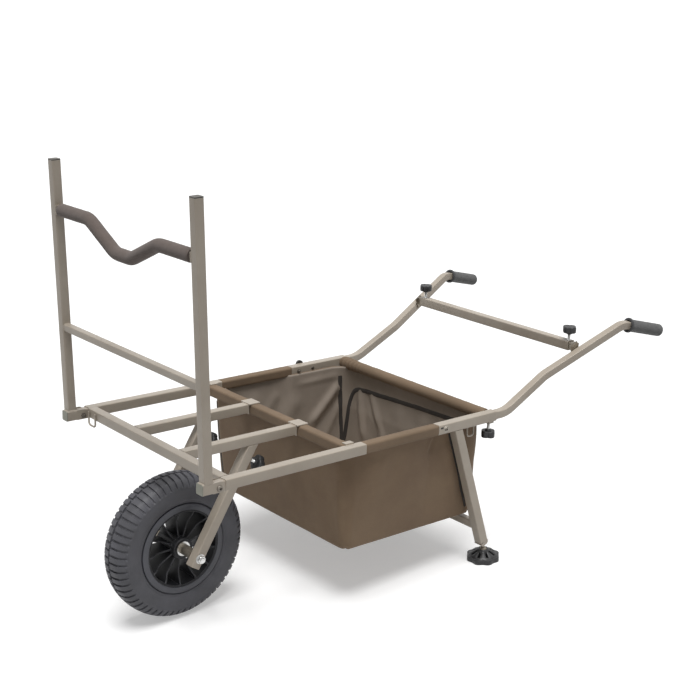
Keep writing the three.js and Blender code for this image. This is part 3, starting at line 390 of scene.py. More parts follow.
post, panel_bar, panel_bar_z = 22.5, 17.6, 213.2
post_inner = track / 2 - post
rest_height, rest_left_drop = 499, 8
panel_beads, foot_beads = [], []
for _, sign in sides:
    wall, outside = sign * post_inner, sign * (track / 2 - bar_inset)
    rest_end = rest_height - (rest_left_drop if sign < 0 else 0)
    inner = post / 2 - bar_inset
    panel_beads += square_beads(wall, 0, panel_bar_z, panel_bar / 2)
    panel_beads.append(bead((-post / 2, wall, rest_end - inner), (-post / 2, wall, rest_end + inner),
                            thin_bead_radius))
    front, back = upright_x - post / 2, upright_x + post / 2
    foot_beads += [bead((front, wall + sign * bar_inset, 0), (front, outside, 0)),
                   bead((front, wall, 0), (back, wall, 0))]
piece("panel_welds", merged(*panel_beads), panel, paint, "front_panel", "paint")
piece("foot_welds", merged(*foot_beads), deck, paint, "front_panel", "paint")


# Bolts hold the hinge tongues and the tub's side tubes. Each is a burnished button head with a hexagon
# socket, a washer under it, and a lock nut on the inner face of its tube.
bolt_facets = 36
bolt_seam = 0.3
pivot_radius, sleeve_bolt_radius = 4, 3
sleeve_bolt_x = 709
head_dome, socket_floor, nut_height = 3.4, 1.2, 5
head_share, socket_share, nut_share = 1.75, 0.78, 1.7

burnished = surface("burnished_bolt", ("5a5550", "8a847b"), 160.0, (1500.0, 0.15, 0.0001), (220.0, 0.3, 0.5),
                    Metallic=1.0, Roughness=0.38)


def turned(profile, count, ends="capped"):
    """A form turned about Z from (radius, height) rings. A third value of 6 makes that ring a hexagon."""
    rings = []
    for radius, height, *flats in profile:
        ring = disc(radius, count, height)
        if flats:
            for i, point in enumerate(ring):
                turn = (tau * i / count) % (pi / 3) - pi / 6
                point.xy *= cos(pi / 6) / cos(turn)
        rings.append(ring)
    return loft(rings, ends)


def aimed(origin, direction):
    """A place whose Z axis runs along a direction."""
    return (Matrix.Translation(Vector(origin)) @ Vector(direction).normalized().to_track_quat("Z", "Y")
            .to_matrix().to_4x4())


def bolt_shape(radius):
    head, hexagon_socket, nut = radius * head_share, radius * socket_share, radius * nut_share
    outer = turned([(radius * 0.9, 0), (head * 1.12, 0), (head * 1.12, 0.5), (head * 0.98, 0.6), (head, 1.0),
                    (head * 0.93, 1.9), (head * 0.76, 2.8), (head * 0.58, head_dome),
                    (hexagon_socket, head_dome, 6), (hexagon_socket, socket_floor, 6)], bolt_facets)
    base = -rail - 2 * bolt_seam
    tip = base - nut_height
    shank = turned([(radius * 0.8, tip - 1.9), (radius, tip - 1.2), (radius, 0.1)], bolt_facets)
    lock_nut = turned([(radius, tip), (radius * 1.35, tip), (radius * 1.4, base - 3.4),
                       (radius * 1.62, base - 3.3, 6), (nut, base - 2.9, 6), (nut, base - 0.4, 6),
                       (radius * 1.55, base, 6), (radius, base)], bolt_facets, "joined")
    return merged(outer, shank, lock_nut)


for side, sign in sides:
    for name, radius, x, z in (("pivot_bolt", pivot_radius, pivot_x, -pivot_drop),
                               ("sleeve_bolt", sleeve_bolt_radius, sleeve_bolt_x, -rail / 2)):
        place = deck @ aimed((x, sign * (track / 2 + bolt_seam), z), (0, sign, 0))
        bolt = piece(f"{side}_{name}_button", bolt_shape(radius), place, burnished, "frame", "bolts")
        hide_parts(f"{side}_{name}")

# Beside each sleeve bolt's pale washer is a small oblong slot closed by a dark plug. The far sleeve also
# has a black domed cap outside and a flat rivet inside, for the handle's stop.
washer_grey = surface("pale_washer", ("a09a90", "bdb7ac"), 160.0, Metallic=0.6, Roughness=0.42)
slot_dark = surface("dark_slot_plug", ("2a2826", "3a3734"), 200.0, Roughness=0.6)
slot_x, slot_z, slot_long, slot_high, slot_facets = 695.5, -8, 9.5, 4.2, 24
stop_cap_x, stop_cap_z, stop_rivet_x = 733, -4, 759
clearance, hole_gap = 0.05, 0.4
for side, sign in sides:
    face = sign * (track / 2 + clearance)
    bore = sleeve_bolt_radius + hole_gap
    ring = turned([(bore, 0), (8.2, 0), (8.4, 0.25), (8.2, 0.5), (bore, 0.5)], bolt_facets, "joined")
    place = deck @ aimed((sleeve_bolt_x, face, -rail / 2), (0, sign, 0))
    piece(f"{side}_sleeve_washer", ring, place, washer_grey, "frame", "bolts")
    plug_rings = []
    for wide, rise in ((1.0, 0), (1.0, 0.25), (0.85, 0.4)):
        spots = [(copysign(slot_long / 2 - slot_high / 2, point.x) + point.x * wide, point.y * wide)
                 for point in disc(slot_high / 2, slot_facets)]
        plug_rings.append([Vector((slot_x + x, face + sign * rise, slot_z + z)) for x, z in spots])
    piece(f"{side}_sleeve_slot", loft(plug_rings), deck, slot_dark, "frame", "bolts")
stop_cap = turned([(11.0, 0), (11.0, 4.5), (10.2, 7.0), (8.2, 8.8), (5.0, 10.0), (1.6, 10.4)], bolt_facets)
place = deck @ aimed((stop_cap_x, track / 2 + clearance, stop_cap_z), across)
piece("right_stop_cap", stop_cap, place, slot_dark, "frame", "bolts")
rivet = turned([(5.0, 0), (5.0, 0.5), (4.0, 1.4), (2.0, 1.8)], bolt_facets)
place = deck @ aimed((stop_rivet_x, inner_face - clearance, -rail / 2), -across)
piece("right_stop_rivet", rivet, place, burnished, "frame", "bolts")


# Plastic caps close the tops of the uprights, and ribbed plugs close the front ends of the panel's feet.
# They are pressed in. The caps are dark brown, and the plugs are moulded in a greyer tone than the coat.
moulded_grain = (1400.0, 0.3, 0.0001)
cap_plastic = surface("brown_cap_plastic", ("4c4944", "5b5751"), 30.0, moulded_grain, Roughness=0.5)
plug_plastic = surface("grey_plug_plastic", ("8a8a7e", "9a9a8d"), 30.0, moulded_grain, Roughness=0.5)
for side, _ in sides:
    dress(f"{side}_upright_cap", cap_plastic)
    dress(f"{side}_foot_plug", plug_plastic)


# The rod rest is a bar bent into a wide dip, in a soft foam sleeve that is slit and glued along it.
# The foam is dark brown, faintly puckered all over, and drawn in a little at its ends.
rest_dip, rest_flat_y, rest_dip_y, rest_bend = 59, 146, 34, 60
foam_radius, foam_end, foam_bore = 15.5, 276, 8.3
foam_count = 40
foam_step = 4.0
end_insets = (0.06, 0.012)
pucker_most, pucker_scale, pucker_round = 0.02, 0.06, 30

rest_foam = surface("brown_foam", ("60554f", "675c56"), 60.0, (700.0, 0.6, 0.0004), Roughness=0.9,
                    Sheen_Weight=0.15, Sheen_Roughness=0.6)


def bent(corners, radius, step):
    """(point, direction) stations along straight runs joined by arcs."""
    corners = [Vector(corner) for corner in corners]
    ways = [(b - a).normalized() for a, b in zip(corners, corners[1:])]
    knots = [corners[0]]
    arcs = []
    for corner, before, after in zip(corners[1:], ways, ways[1:]):
        turn = before.angle(after)
        reach = radius * tan(turn / 2)
        inward = (after - before * cos(turn)).normalized()
        start = corner - before * reach
        arcs.append((start, before, inward, turn))
        knots += [start, corner + after * reach]
    knots.append(corners[-1])
    stations = []
    for i, way in enumerate(ways):
        start, end = knots[2 * i], knots[2 * i + 1]
        count = max(1, round((end - start).length / step))
        stations += [(start.lerp(end, k / count), way) for k in range(count + 1)]
        if i < len(arcs):
            begin, before, inward, turn = arcs[i]
            count = max(3, round(radius * turn / step))
            for k in range(1, count):
                angle = turn * k / count
                point = begin + before * radius * sin(angle) + inward * radius * (1 - cos(angle))
                stations.append((point, before * cos(angle) + inward * sin(angle)))
    return stations


def foam_sleeve():
    low, left = rest_height - rest_dip, rest_height - rest_left_drop
    corners = [(0, -foam_end, left), (0, -rest_flat_y, left), (0, -rest_dip_y, low), (0, rest_dip_y, low),
               (0, rest_flat_y, rest_height), (0, foam_end, rest_height)]
    line = bent(corners, rest_bend, foam_step)
    back = Vector((1, 0, 0))
    outside, bore = [], []
    for i, (point, way) in enumerate(line):
        edge = min(i, len(line) - 1 - i)
        inset = end_insets[edge] if edge < len(end_insets) else 0
        ring = []
        for spot in disc(1, foam_count):
            wrap = Vector((point.y, pucker_round * spot.x, pucker_round * spot.y + point.z))
            pucker = noise.noise(wrap * pucker_scale)
            radius = foam_radius * (1 - inset) * (1 + pucker_most * pucker)
            out = back * spot.x + way.cross(back) * spot.y
            ring.append((point + out * radius, point + out * foam_bore))
        outside.append([pair[0] for pair in ring])
        bore.append([pair[1] for pair in ring])
    return loft(outside + bore[::-1], "joined")


foam = piece("rod_rest_sleeve", foam_sleeve(), panel, rest_foam, "front_panel", "rest_foam", 60)
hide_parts("rod_rest_foam")


# The wheel has a pneumatic tyre of grey-black rubber. Its tread is two staggered rows of small blocks,
# parted by a groove round the middle. They run on over the shoulders, and the sidewalls are smooth.
tyre_radius, tyre_half = 178.5, 44.5
rim_edge = 112.6
tread_depth = 4.5
groove_half, groove_depth = 2.2, 4.5
lug_count = 60
lug_phases = ((0.0, 1), (0.05, 0), (0.38, 0), (0.70, 0), (0.75, 1), (0.88, 1))
axle_point = (124.8, 0, -273.8)
wheel_place = deck @ aimed(axle_point, across)

rubber = surface("tyre_rubber", ("47474b", "525258"), 18.0, (1100.0, 0.3, 0.0002), (40.0, 0.5, 0.64),
                 Roughness=0.62)

# The bead that sits in the rim, as radius and half width
tyre_bead = ((97.4, 24.0), (97.4, 35.4), (108.5, 35.6), (112.6, 36.4))
# The side and tread, as shares of the rise from the rim's edge to the tread, of the half width, and of
# the depth that a gap between blocks is cut there
tyre_shares = (
    (0.011, 0.843, 0), (0.034, 0.891, 0), (0.071, 0.917, 0), (0.102, 0.913, 0), (0.125, 0.939, 0),
    (0.19, 0.97, 0), (0.29, 0.991, 0), (0.403, 0.998, 0), (0.517, 0.987, 0), (0.565, 0.976, 0),
    (0.60, 0.984, 0), (0.635, 0.976, 0.1), (0.668, 0.962, 0.5), (0.705, 0.934, 0.9), (0.76, 0.882, 1),
    (0.83, 0.80, 1), (0.88, 0.72, 1), (0.903, 0.674, 0.75), (0.93, 0.61, 0.75), (0.952, 0.535, 1),
    (0.977, 0.391, 1), (0.991, 0.24, 1), (1.0, 0.07, 1))


def tyre_shape():
    columns = [(lug + phase) / lug_count for lug in range(lug_count) for phase, _ in lug_phases]
    cuts = [cut for _ in range(lug_count) for _, cut in lug_phases]
    rise = tyre_radius - rim_edge
    profile = [(radius, half, 0) for radius, half in tyre_bead]
    profile += [(rim_edge + up * rise, half * tyre_half, cut) for up, half, cut in tyre_shares]
    profile += [(tyre_radius - groove_depth, groove_half, 0), (tyre_radius - groove_depth, 0.0, 0)]
    whole = [(r, -y, cut, 0.0) for r, y, cut in profile] + [(r, y, cut, 0.5) for r, y, cut in profile[-2::-1]]
    rings = []
    for radius, height, depth, stagger in whole:
        turns = [tau * (column + stagger / lug_count) for column in columns]
        rings.append([polar(radius - tread_depth * depth * cut, turn, height)
                      for turn, cut in zip(turns, cuts)])
    return loft(rings, "joined")


tyre = piece("tyre_with_tread", tyre_shape(), wheel_place, rubber, "wheel", "tyre", 40)
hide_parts("tyre")


# The rim is one black moulding: a barrel with rolled flanges, a hub, and thin ribs whose edges dish in
# between the hub and the barrel. Its barrel, hub and ribs are painted near black, as painted shade in the
# deep wheel, with a painted highlight along the rib edges; its flanges are painted lighter, as painted light.
rim_facets = 120
barrel_inner = 92
hub_half, hub_radius, hub_bore, hub_chamfer = 41, 26, 18.3, 1.4
rib_count, rib_thickness, rib_soft = 13, 4, 0.9
rib_hub_half, rib_rim_half, rib_dish = 27, 40, 62
rib_in_hub, rib_in_barrel = 0.6, 0.2
rib_first = radians(57.3)
rib_steps = 14

rim_grain = (1300.0, 0.25, 0.0001)
# The near-black tones are painted shade of the deep wheel, and the pale edge colour is a painted highlight on
# the ribs
rim_plastic_painted_shade = surface("rim_plastic_painted_shade", ("131316", "1b1c1f"), 25.0, rim_grain, edge=("77777c", 1.5, 40.0),
                      Roughness=0.5, Specular_IOR_Level=0.3)
# The flanges' lighter grey is painted light on the same black moulding as the rim
flange_plastic_painted_light = surface("flange_plastic_painted_light", ("43444a", "505158"), 25.0, rim_grain, Roughness=0.42)


def ring_shape(bore, radius, base, top, chamfer, count):
    """A ring between two heights, with its outer corners cut back."""
    return turned([(bore, base), (radius - chamfer, base), (radius, base + chamfer), (radius, top - chamfer),
                   (radius - chamfer, top), (bore, top)], count, "joined")


def flange_shape(sign):
    profile = [(97.2, 36.2), (109.0, 36.3), (111.2, 36.9), (112.0, 39.0), (111.6, 40.8), (109.6, 41.8),
               (103.0, 42.0), (97.2, 41.8)]
    return turned([(radius, sign * half) for radius, half in profile[::sign]], rim_facets, "joined")


def rim_shape():
    half = [(barrel_inner, 40.0), (93.0, 40.9), (94.0, 41.4), (96.2, 41.4), (97.0, 40.6), (97.0, 34.8)]
    barrel = turned([(r, -y) for r, y in half] + half[::-1], rim_facets, "joined")
    hub = ring_shape(hub_bore, hub_radius, -hub_half, hub_half, hub_chamfer, bolt_facets * 2)
    wide, soft = rib_thickness / 2, rib_soft
    start, end = hub_radius - rib_in_hub, barrel_inner + rib_in_barrel
    rings = []
    for k in range(rib_steps + 1):
        radius = start + (end - start) * k / rib_steps
        share = min(1, max(0, (radius - rib_dish) / (barrel_inner - rib_dish)))
        high = rib_hub_half + (rib_rim_half - rib_hub_half) * share ** 2 * (3 - 2 * share)
        rings.append([Vector((radius, a, b)) for a, b in (
            (-wide, -high + soft), (soft - wide, -high), (wide - soft, -high), (wide, -high + soft),
            (wide, high - soft), (wide - soft, high), (soft - wide, high), (-wide, high - soft))])
    points, faces = loft(rings)
    ribs = []
    for i in range(rib_count):
        turn = Matrix.Rotation(-(rib_first + tau * i / rib_count), 4, "Z")
        ribs.append(([turn @ point for point in points], faces))
    return merged(barrel, hub, *ribs)


rim = piece("moulded_rim", rim_shape(), wheel_place, rim_plastic_painted_shade, "wheel", "rim")
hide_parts("rim")
for side, sign in sides:
    piece(f"{side}_rim_flange", flange_shape(sign), wheel_place, flange_plastic_painted_light, "wheel", "rim")


# The wheel runs on a plain axle of bright zinc-plated steel, with turned bushes in the hub, a spacer on
# each side, and a washer and a hexagon outside each fork strut. The foot studs have the same plating.
zinc_grain = (1200.0, 0.12, 0.0001)
zinc = surface("bright_zinc", ("bcbcba", "e0e0df"), 70.0, zinc_grain, (120.0, 0.2, 0.42), Metallic=1.0,
               Roughness=0.28)
dull_zinc = surface("dull_zinc", ("7f776b", "9a9285"), 70.0, zinc_grain, Metallic=0.85, Roughness=0.45)

strut_outer = strut_y + rail / 2 + 0.3
washer_radius, washer_thickness, washer_chamfer = 12, 2, 0.3
hexagon_radius, hexagon_height, hexagon_chamfer = 10, 8, 1.1
axle_radius, axle_tail, axle_chamfer, axle_in_head = 6, 4, 0.8, 3
washer_sunk, bore_gap, head_sunk, nut_gap = 0.5, 0.2, 0.2, 0.1
washer_outer = strut_outer + washer_thickness
axle_end = washer_outer + hexagon_height


def hexagon(base, top, bore):
    """A chamfered hexagon between two heights, bored through if bore isn't zero."""
    flat = hexagon_radius * 0.86
    ring = [(flat, base), (hexagon_radius, base + hexagon_chamfer, 6),
            (hexagon_radius, top - hexagon_chamfer, 6), (flat, top)]
    if bore:
        return turned([(bore, base), *ring, (bore, top)], bolt_facets, "joined")
    return turned(ring, bolt_facets)


def washer(bore):
    return ring_shape(bore, washer_radius, strut_outer, washer_outer, washer_chamfer, bolt_facets)


tail, head = -axle_end - axle_tail, washer_outer + axle_in_head
shaft = turned([(axle_radius - axle_chamfer, tail), (axle_radius, tail + axle_chamfer),
                (axle_radius, head - 1), (axle_radius - axle_chamfer, head)], bolt_facets)
axle_parts = merged(shaft, washer(axle_radius - washer_sunk), hexagon(washer_outer - head_sunk, axle_end, 0))
axle = piece("axle_bolt", axle_parts, wheel_place, zinc, "fork", "zinc")
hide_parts("axle")
bore = axle_radius + bore_gap
nut_parts = merged(washer(bore), hexagon(washer_outer + nut_gap, axle_end, bore))
nut_place = wheel_place @ Matrix.Rotation(pi, 4, "X")
nut = piece("axle_lock_nut", nut_parts, nut_place, zinc, "fork", "zinc")
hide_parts("axle_nut")
for side, _ in sides:
    dress(f"{side}_hub_bush", zinc)
    for name in ("axle_spacer", "brace_bracket", "foot_stud"):
        dress(f"{side}_{name}", dull_zinc)


# Clamping knobs are four-lobed heads of black glass-filled nylon, moulded on a screwed stud. Two hold the
# handles, two the fork and two the brace between the handles.
knob_facets = 96
knob_radius, knob_lobe, knob_height = 17.4, 2.0, 17
boss_radius, boss_height, boss_edge = 8, 4, 0.8
stud_radius, thread_pitch, thread_depth = 4, 1.25, 0.45

knob_plastic = surface("black_nylon", ("161617", "232325"), 60.0, (1500.0, 0.35, 0.0002), (90.0, 0.38, 0.55),
                       Roughness=0.45)


# The head's side, as shares of its radius, of its height and of how far the lobes stand out there
head_shares = (
    (0.74, 0.0, 0.9), (0.89, 0.02, 1), (0.97, 0.09, 1), (1.0, 0.2, 1), (1.0, 0.78, 1), (0.98, 0.89, 1),
    (0.92, 0.97, 1), (0.8, 1.0, 0.8), (0.58, 1.0, 0.1), (0.54, 0.96, 0), (0.5, 0.96, 0), (0.2, 0.98, 0))


def lobed_ring(radius, height, depth):
    ring = []
    for i in range(knob_facets):
        turn = tau * i / knob_facets
        wave = (0.5 + 0.5 * cos(4 * turn)) ** 0.5
        ring.append(polar(radius + depth * (2 * wave - 1) * knob_lobe, turn, height))
    return ring


def knob_shape(start):
    """The head and its boss, from a height along the stud."""
    head = loft([lobed_ring(knob_radius * wide, start + high * knob_height, depth)
                 for wide, high, depth in head_shares])
    boss = turned([(boss_radius - 1, start - boss_height), (boss_radius, start + boss_edge - boss_height),
                   (boss_radius + boss_edge, start + boss_edge)], knob_facets)
    return merged(head, boss)


def stud_shape(stud_in, length):
    rings, height = [(stud_radius - 0.7, -stud_in)], -stud_in + 0.5
    while height < length:
        rings += [(stud_radius - thread_depth, height), (stud_radius, height + thread_pitch / 2)]
        height += thread_pitch
    return turned([*rings, (stud_radius, length)], bolt_facets)


fork_lean = radians(31)
strut_up = Vector((sin(fork_lean), 0, cos(fork_lean)))
strut_back = Vector((cos(fork_lean), 0, -sin(fork_lean)))
strut_seat = (-axle_point[2] - bar) / cos(fork_lean)
fork_knob_below, weld_nut = 34, 5
handle_knob_x = 869
brace_bar_x, brace_bar_z, brace_knob_y, tube_inner = 1171, 123.2, 278, 20.6
for side, sign in sides:
    behind_strut = (Vector(axle_point) + sign * strut_y * across + strut_up * (strut_seat - fork_knob_below)
                    + strut_back * (rail / 2 + weld_nut))
    under_sleeve = (handle_knob_x, sign * (track - rail) / 2, -rail - weld_nut)
    over_brace = (brace_bar_x, sign * brace_knob_y, brace_bar_z + tube_inner / 2)
    for name, origin, way, stud_in, head_from in (("handle_knob", under_sleeve, (0, 0, -1), 6.4, 20.5),
                                                  ("brace_knob", over_brace, (0, 0, 1), 5.0, 23.0),
                                                  ("fork_knob", behind_strut, strut_back, 6.6, 18.6)):
        place = deck @ aimed(origin, way)
        head = piece(f"{side}_{name}_head", knob_shape(head_from), place, knob_plastic, f"{side}_{name}",
                     "black_plastic", 50)
        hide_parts(f"{side}_{name}")
        piece(f"{side}_{name}_stud", stud_shape(stud_in, head_from), place, zinc, f"{side}_{name}", "zinc")


# Mud feet are black moulded pads that swivel on a ball stud. Slots part the pad's sloping top into eight
# lobes, its rim has eight soft corners, and a domed socket in the middle holds the ball.
pad_radius, pad_lobe, pad_lobes = 41.5, 2, 8
pad_thickness = 13
slot_wide, slot_slope, slot_floor = 6, 0.8, 9
lobe_columns = 9
dome_radius, dome_shoulder, dome_top_radius, dome_top = 17, 24, 14, 29.5
ball_height, socket_radius = 26, 10.4


def pad_ring(radius, height, depth, slotted, crown=0):
    """One ring of the pad, with soft corners to a depth and, where it is slotted, eight slots."""
    ring = []
    for lobe in range(pad_lobes):
        middle = (lobe + 0.5) * tau / pad_lobes
        low_edge = asin(min(0.3, (slot_wide / 2 - slot_slope / 2) / radius))
        high_edge = asin(min(0.34, (slot_wide / 2 + slot_slope / 2) / radius))
        span = tau / pad_lobes - 2 * high_edge
        columns = [(0, 1, 0), (low_edge, 1, 0)]
        columns += [(high_edge + span * k / lobe_columns, 0, sin(pi * k / lobe_columns))
                    for k in range(lobe_columns + 1)]
        columns.append((tau / pad_lobes - low_edge, 1, 0))
        for turn, cut, swell in columns:
            angle = middle + turn
            level = slot_floor if slotted and cut else height + crown * swell
            ring.append(polar(radius - depth * pad_lobe * cos(pad_lobes * angle), angle, level))
    return ring


def pad_shape():
    rings = [pad_ring(*values) for values in (
        (20, 1.2, 0, 0), (34, 1.2, 0.6, 0), (35.5, 0.0, 0.8, 0), (39.8, 0.0, 1, 0), (41.0, 0.7, 1, 0),
        (pad_radius, 2.2, 1, 0), (pad_radius, 11.2, 1, 0), (41.0, 12.4, 1, 0), (40.0, pad_thickness, 1, 0),
        (37.4, pad_thickness, 0.8, 0), (36.0, 13.8, 0.4, 0, 0.4), (31.6, 16.0, 0, 0, 0.9),
        (31.0, 16.3, 0, 1, 1.0), (24.0, 20.3, 0, 1, 1.2), (18.4, 23.3, 0, 1, 0.9),
        (dome_radius, dome_shoulder + 0.4, 0, 1, 0.4), (15.8, 26.2, 0, 1), (15.4, 26.9, 0, 0),
        (dome_top_radius + 0.6, 28.6, 0, 0),
        (dome_top_radius - 0.6, dome_top, 0, 0), (10.4, dome_top, 0, 0), (9.79, dome_top - 0.4, 0, 0),
        (socket_radius, ball_height, 0, 0), (9.0, 20.8, 0, 0), (5, 16.9, 0, 0))]
    return loft(rings)


for side, _ in sides:
    swivel = Vector(joints[f"{side}_foot_swivel"]["pos_m"])
    place = Matrix.Translation((swivel.x, swivel.y, 0)) @ Matrix.Scale(mm, 4)
    pad = piece(f"{side}_mud_foot", pad_shape(), place, knob_plastic, f"{side}_foot_pad", "black_plastic")
    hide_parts(f"{side}_foot_pad")


# The grips are sleeves of grey closed-cell foam on the handle ends, each with a darker moulded collar
# in front and a rounded closed end.
grip_facets = 64
grip_radius, grip_bore, grip_length, grip_tube = 16.8, 14, 124, 112
grip_swell, grip_waves, wave_from, wave_step = 0.12, 15, 6, 7.2
plug_radius, plug_hole, seam = 2.9, 3, 0.4
collar_radius, collar_length, collar_chamfer = 20, 5, 1.2
handle_top = Vector((1308.5, 341.5, 173))
grip_way = Vector((1, 0.12, -0.24)).normalized()
grip_from_bend = 19

grip_foam = surface("grey_foam", ("565656", "676767"), 80.0, (800.0, 0.6, 0.0003), Roughness=0.88,
                    Sheen_Weight=0.1, Sheen_Roughness=0.6)
collar_rubber = surface("dark_collar", ("2f2f30", "3c3c3e"), 90.0, (1200.0, 0.3, 0.0002), Roughness=0.6)


def grip_shape():
    """The foam sleeve, and the plug in the hole of its closed end."""
    start, end, hollow = collar_length + 0.1, grip_length, grip_tube + seam
    outside = [(grip_radius - 0.5, start), (grip_radius, start + 0.8)]
    outside += [(grip_radius + grip_swell * sin(k * 1.7), start + wave_from + k * wave_step)
                for k in range(grip_waves)]
    outside += [(grip_radius, end - 7), (grip_radius - 0.5, end - 4.2), (grip_radius - 1.8, end - 1.9),
                (grip_radius - 4, end - 0.5), (grip_radius - 6.5, end)]
    inside = [(plug_hole, end), (plug_hole, hollow), (grip_bore, hollow), (grip_bore, start)]
    plug = turned([(plug_radius, hollow + 0.2), (plug_radius, end - 0.4), (1.6, end - 0.2)], grip_facets)
    return merged(turned([*outside, *inside], grip_facets, "joined"), plug)


collar = ring_shape(grip_bore, collar_radius, 0, collar_length, collar_chamfer, grip_facets)
for side, sign in sides:
    way = Vector((grip_way.x, sign * grip_way.y, grip_way.z))
    top = Vector((handle_top.x, sign * handle_top.y, handle_top.z))
    place = deck @ aimed(top + way * grip_from_bend, way)
    grip = piece(f"{side}_grip_foam", grip_shape(), place, grip_foam, "handles", "grip_foam", 50)
    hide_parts(f"{side}_grip")
    piece(f"{side}_grip_collar", collar, place, collar_rubber, "handles", "grip_foam", 50)


# The tub is a bag of brown coated polyester hung in the back of the deck. Its outer cloth is one cross,
# a floor with four walls, sewn up the corners, and it sags a little under its own weight.
cloth_brown = "816c55"
cloth_dark = "75604b"
weave_pitch = 0.0016
tub_top, tub_bottom = -19.5, -286
tub_front, tub_rear = (414, 436), (869, 862)
tub_half = (282.7, 262)
front_corner, rear_corner = (48, 22), (56, 18)
bulge_from, bulge_to, bulge_most = 457, 684, 15
rear_swell, swell_share, swell_from, belly = 7, 0.44, 0.12, 2.5
tub_edge, corner_tuck, floor_sag = 12, 16, 4
cloth_gap = 4.6
valley_most, ridge_most = 2.6, 9
fold_round, fold_down, floor_folds = 0.010, 0.0045, 0.4
crease_reach, crease_fade = 3, 0.3
corner_from, corner_run = 0.7072, 0.26
ring_points, wall_rows, floor_rows = 360, 44, 14

# Woven: the height of threads that cross over and under each other, at Pitch in metres, and their mask
woven, given, result = effect("woven", {"Pitch": weave_pitch, "Depth": 1.0}, "Height", "Thread")
position = node(woven, "TexCoord").outputs["UV"]
rate = worked(woven, "DIVIDE", 1.0, given["Pitch"])
scaled = node(woven, "VectorMath", {0: position, "Scale": rate}, operation="SCALE").outputs[0]
ways = node(woven, "SeparateXYZ", {0: scaled}).outputs
warp, weft = [worked(woven, "SINE", worked(woven, "MULTIPLY", ways[k], pi)) for k in (0, 1)]
thread = ranged(woven, worked(woven, "MULTIPLY", warp, weft), -1.0, 1.0)
woven.links.new(worked(woven, "MULTIPLY", thread, given["Depth"]), result["Height"])
woven.links.new(thread, result["Thread"])


def cloth_finish(name, dark, light, roughness):
    made, tree, shader = finish(name, Roughness=roughness, Sheen_Weight=0.04, Sheen_Roughness=0.5)
    base = toned(tree, linear(dark), linear(light), group_value(tree, cloudy, "Value", Scale=7.0))
    shade = ranged(tree, group_value(tree, woven, "Thread"), 0.0, 1.0, 0.9, 1.06)
    tint = node(tree, "Mix", {"Factor": 1.0, 6: base, 7: shade}, data_type="RGBA", blend_type="MULTIPLY")
    tree.links.new(tint.outputs[2], shader["Base Color"])
    link_bump(tree, shader, group_value(tree, woven, "Height"), 0.5, 0.0003)
    return made


bag_cloth = cloth_finish("brown_bag_cloth", cloth_dark, cloth_brown, 0.8)
# The hems are the bag's own cloth; their slightly darker tones are painted shade against the light on their
# tops
hem_cloth_painted_shade = cloth_finish("brown_hem_cloth_painted_darker", "715f4b", "7f6b56", 0.8)
lining_cloth = cloth_finish("grey_lining_cloth", "897e72", "978b7f", 0.62)


def rounded(width, height, corner, count, front=None):
    """Evenly spaced points round a rectangle with rounded corners, and their outward normals, from the middle
    of its +X side. The corners at -X have the radius front, if one is given."""
    front = front or corner
    radii = (corner, front, front, corner)
    straights = (height - 2 * corner, width - corner - front, height - 2 * front, width - corner - front)
    runs = [length for straight, radius in zip(straights, radii) for length in (straight, pi * radius / 2)]
    marks = [0]
    for length in runs:
        marks.append(marks[-1] + length)
    spots = []
    for i in range(count):
        at = (i / count * marks[-1] + straights[0] / 2) % marks[-1]
        k = min(bisect.bisect_right(marks, at) - 1, len(runs) - 1)
        share = (at - marks[k]) / runs[k]
        radius = radii[k // 2]
        turn = k // 2 * pi / 2
        centre = Vector((copysign(width / 2 - radius, cos(turn + pi / 4)),
                         copysign(height / 2 - radius, sin(turn + pi / 4))))
        angle = turn + share * pi / 2 if k % 2 else turn
        normal = Vector((cos(angle), sin(angle)))
        back = Vector((0, 0)) if k % 2 else Vector((-normal.y, normal.x)) * runs[k] * (share - 1)
        spots.append((centre + normal * radius + back, normal))
    return spots


def between(pair, share):
    return pair[0] + (pair[1] - pair[0]) * share


def bulge(x, normal, share):
    """How far the walls stand out: the sides most at the mouth, the rear a little under its hem."""
    along = (x - bulge_from) / (bulge_to - bulge_from)
    shoulder = bulge_most * (1 - share) * (1 - (2 * along - 1) ** 4) if 0 < along < 1 else 0
    behind = 0
    if share < swell_share:
        behind = rear_swell * max(0, normal.x) ** 2 * sin(pi * min(1, share * 2 + swell_from))
    return shoulder * abs(normal.y) ** 4 + behind + belly * sin(pi * share) ** 1.5


def folds(x, y, z, amount):
    spot = Vector((x * fold_round, y * fold_round, z * fold_down))
    return amount * noise.fractal(spot, 0.9, 2.1, 3)


def crease(spot, line):
    """The height of one fold at a (place along the wall, height) spot: a soft ridge along a line that fades
    at its ends. The line is two spots, its half width and its height, which is below 0 for a valley."""
    start, end, width, height = line
    run = Vector(end) - Vector(start)
    away = Vector(spot) - Vector(start)
    along = away.dot(run) / run.length_squared
    across_line = abs(away.cross(run)) / run.length / width
    if across_line > crease_reach:
        return 0
    ends = [min(1, max(0, way / crease_fade + 0.5)) for way in (along, 1 - along)]
    fade = ends[0] * ends[1]
    return height * exp(-across_line ** 2) * fade * fade * (3 - 2 * fade)


# Folds of the outer cloth as (start, end, half width, height outward), by the wall's outward side
outer_folds = {
    "left": [((690, -30), (668, -64), 7, 3.0), ((700, -30), (684, -76), 6, -3.0),
             ((470, -30), (520, -60), 16, -2.0), ((748, -34), (812, -220), 8, -4.0),
             ((732, -60), (792, -230), 9, 2.0), ((452, -120), (447, -270), 9, 2.5),
             ((600, -240), (800, -262), 22, 2.0), ((560, -60), (540, -200), 26, -1.5)],
    "front": [((-255, -60), (-250, -250), 10, 2.5), ((262, -40), (246, -240), 9, -3.5),
              ((150, -40), (60, -180), 26, 2.0), ((-60, -50), (20, -220), 30, -2.0)],
}
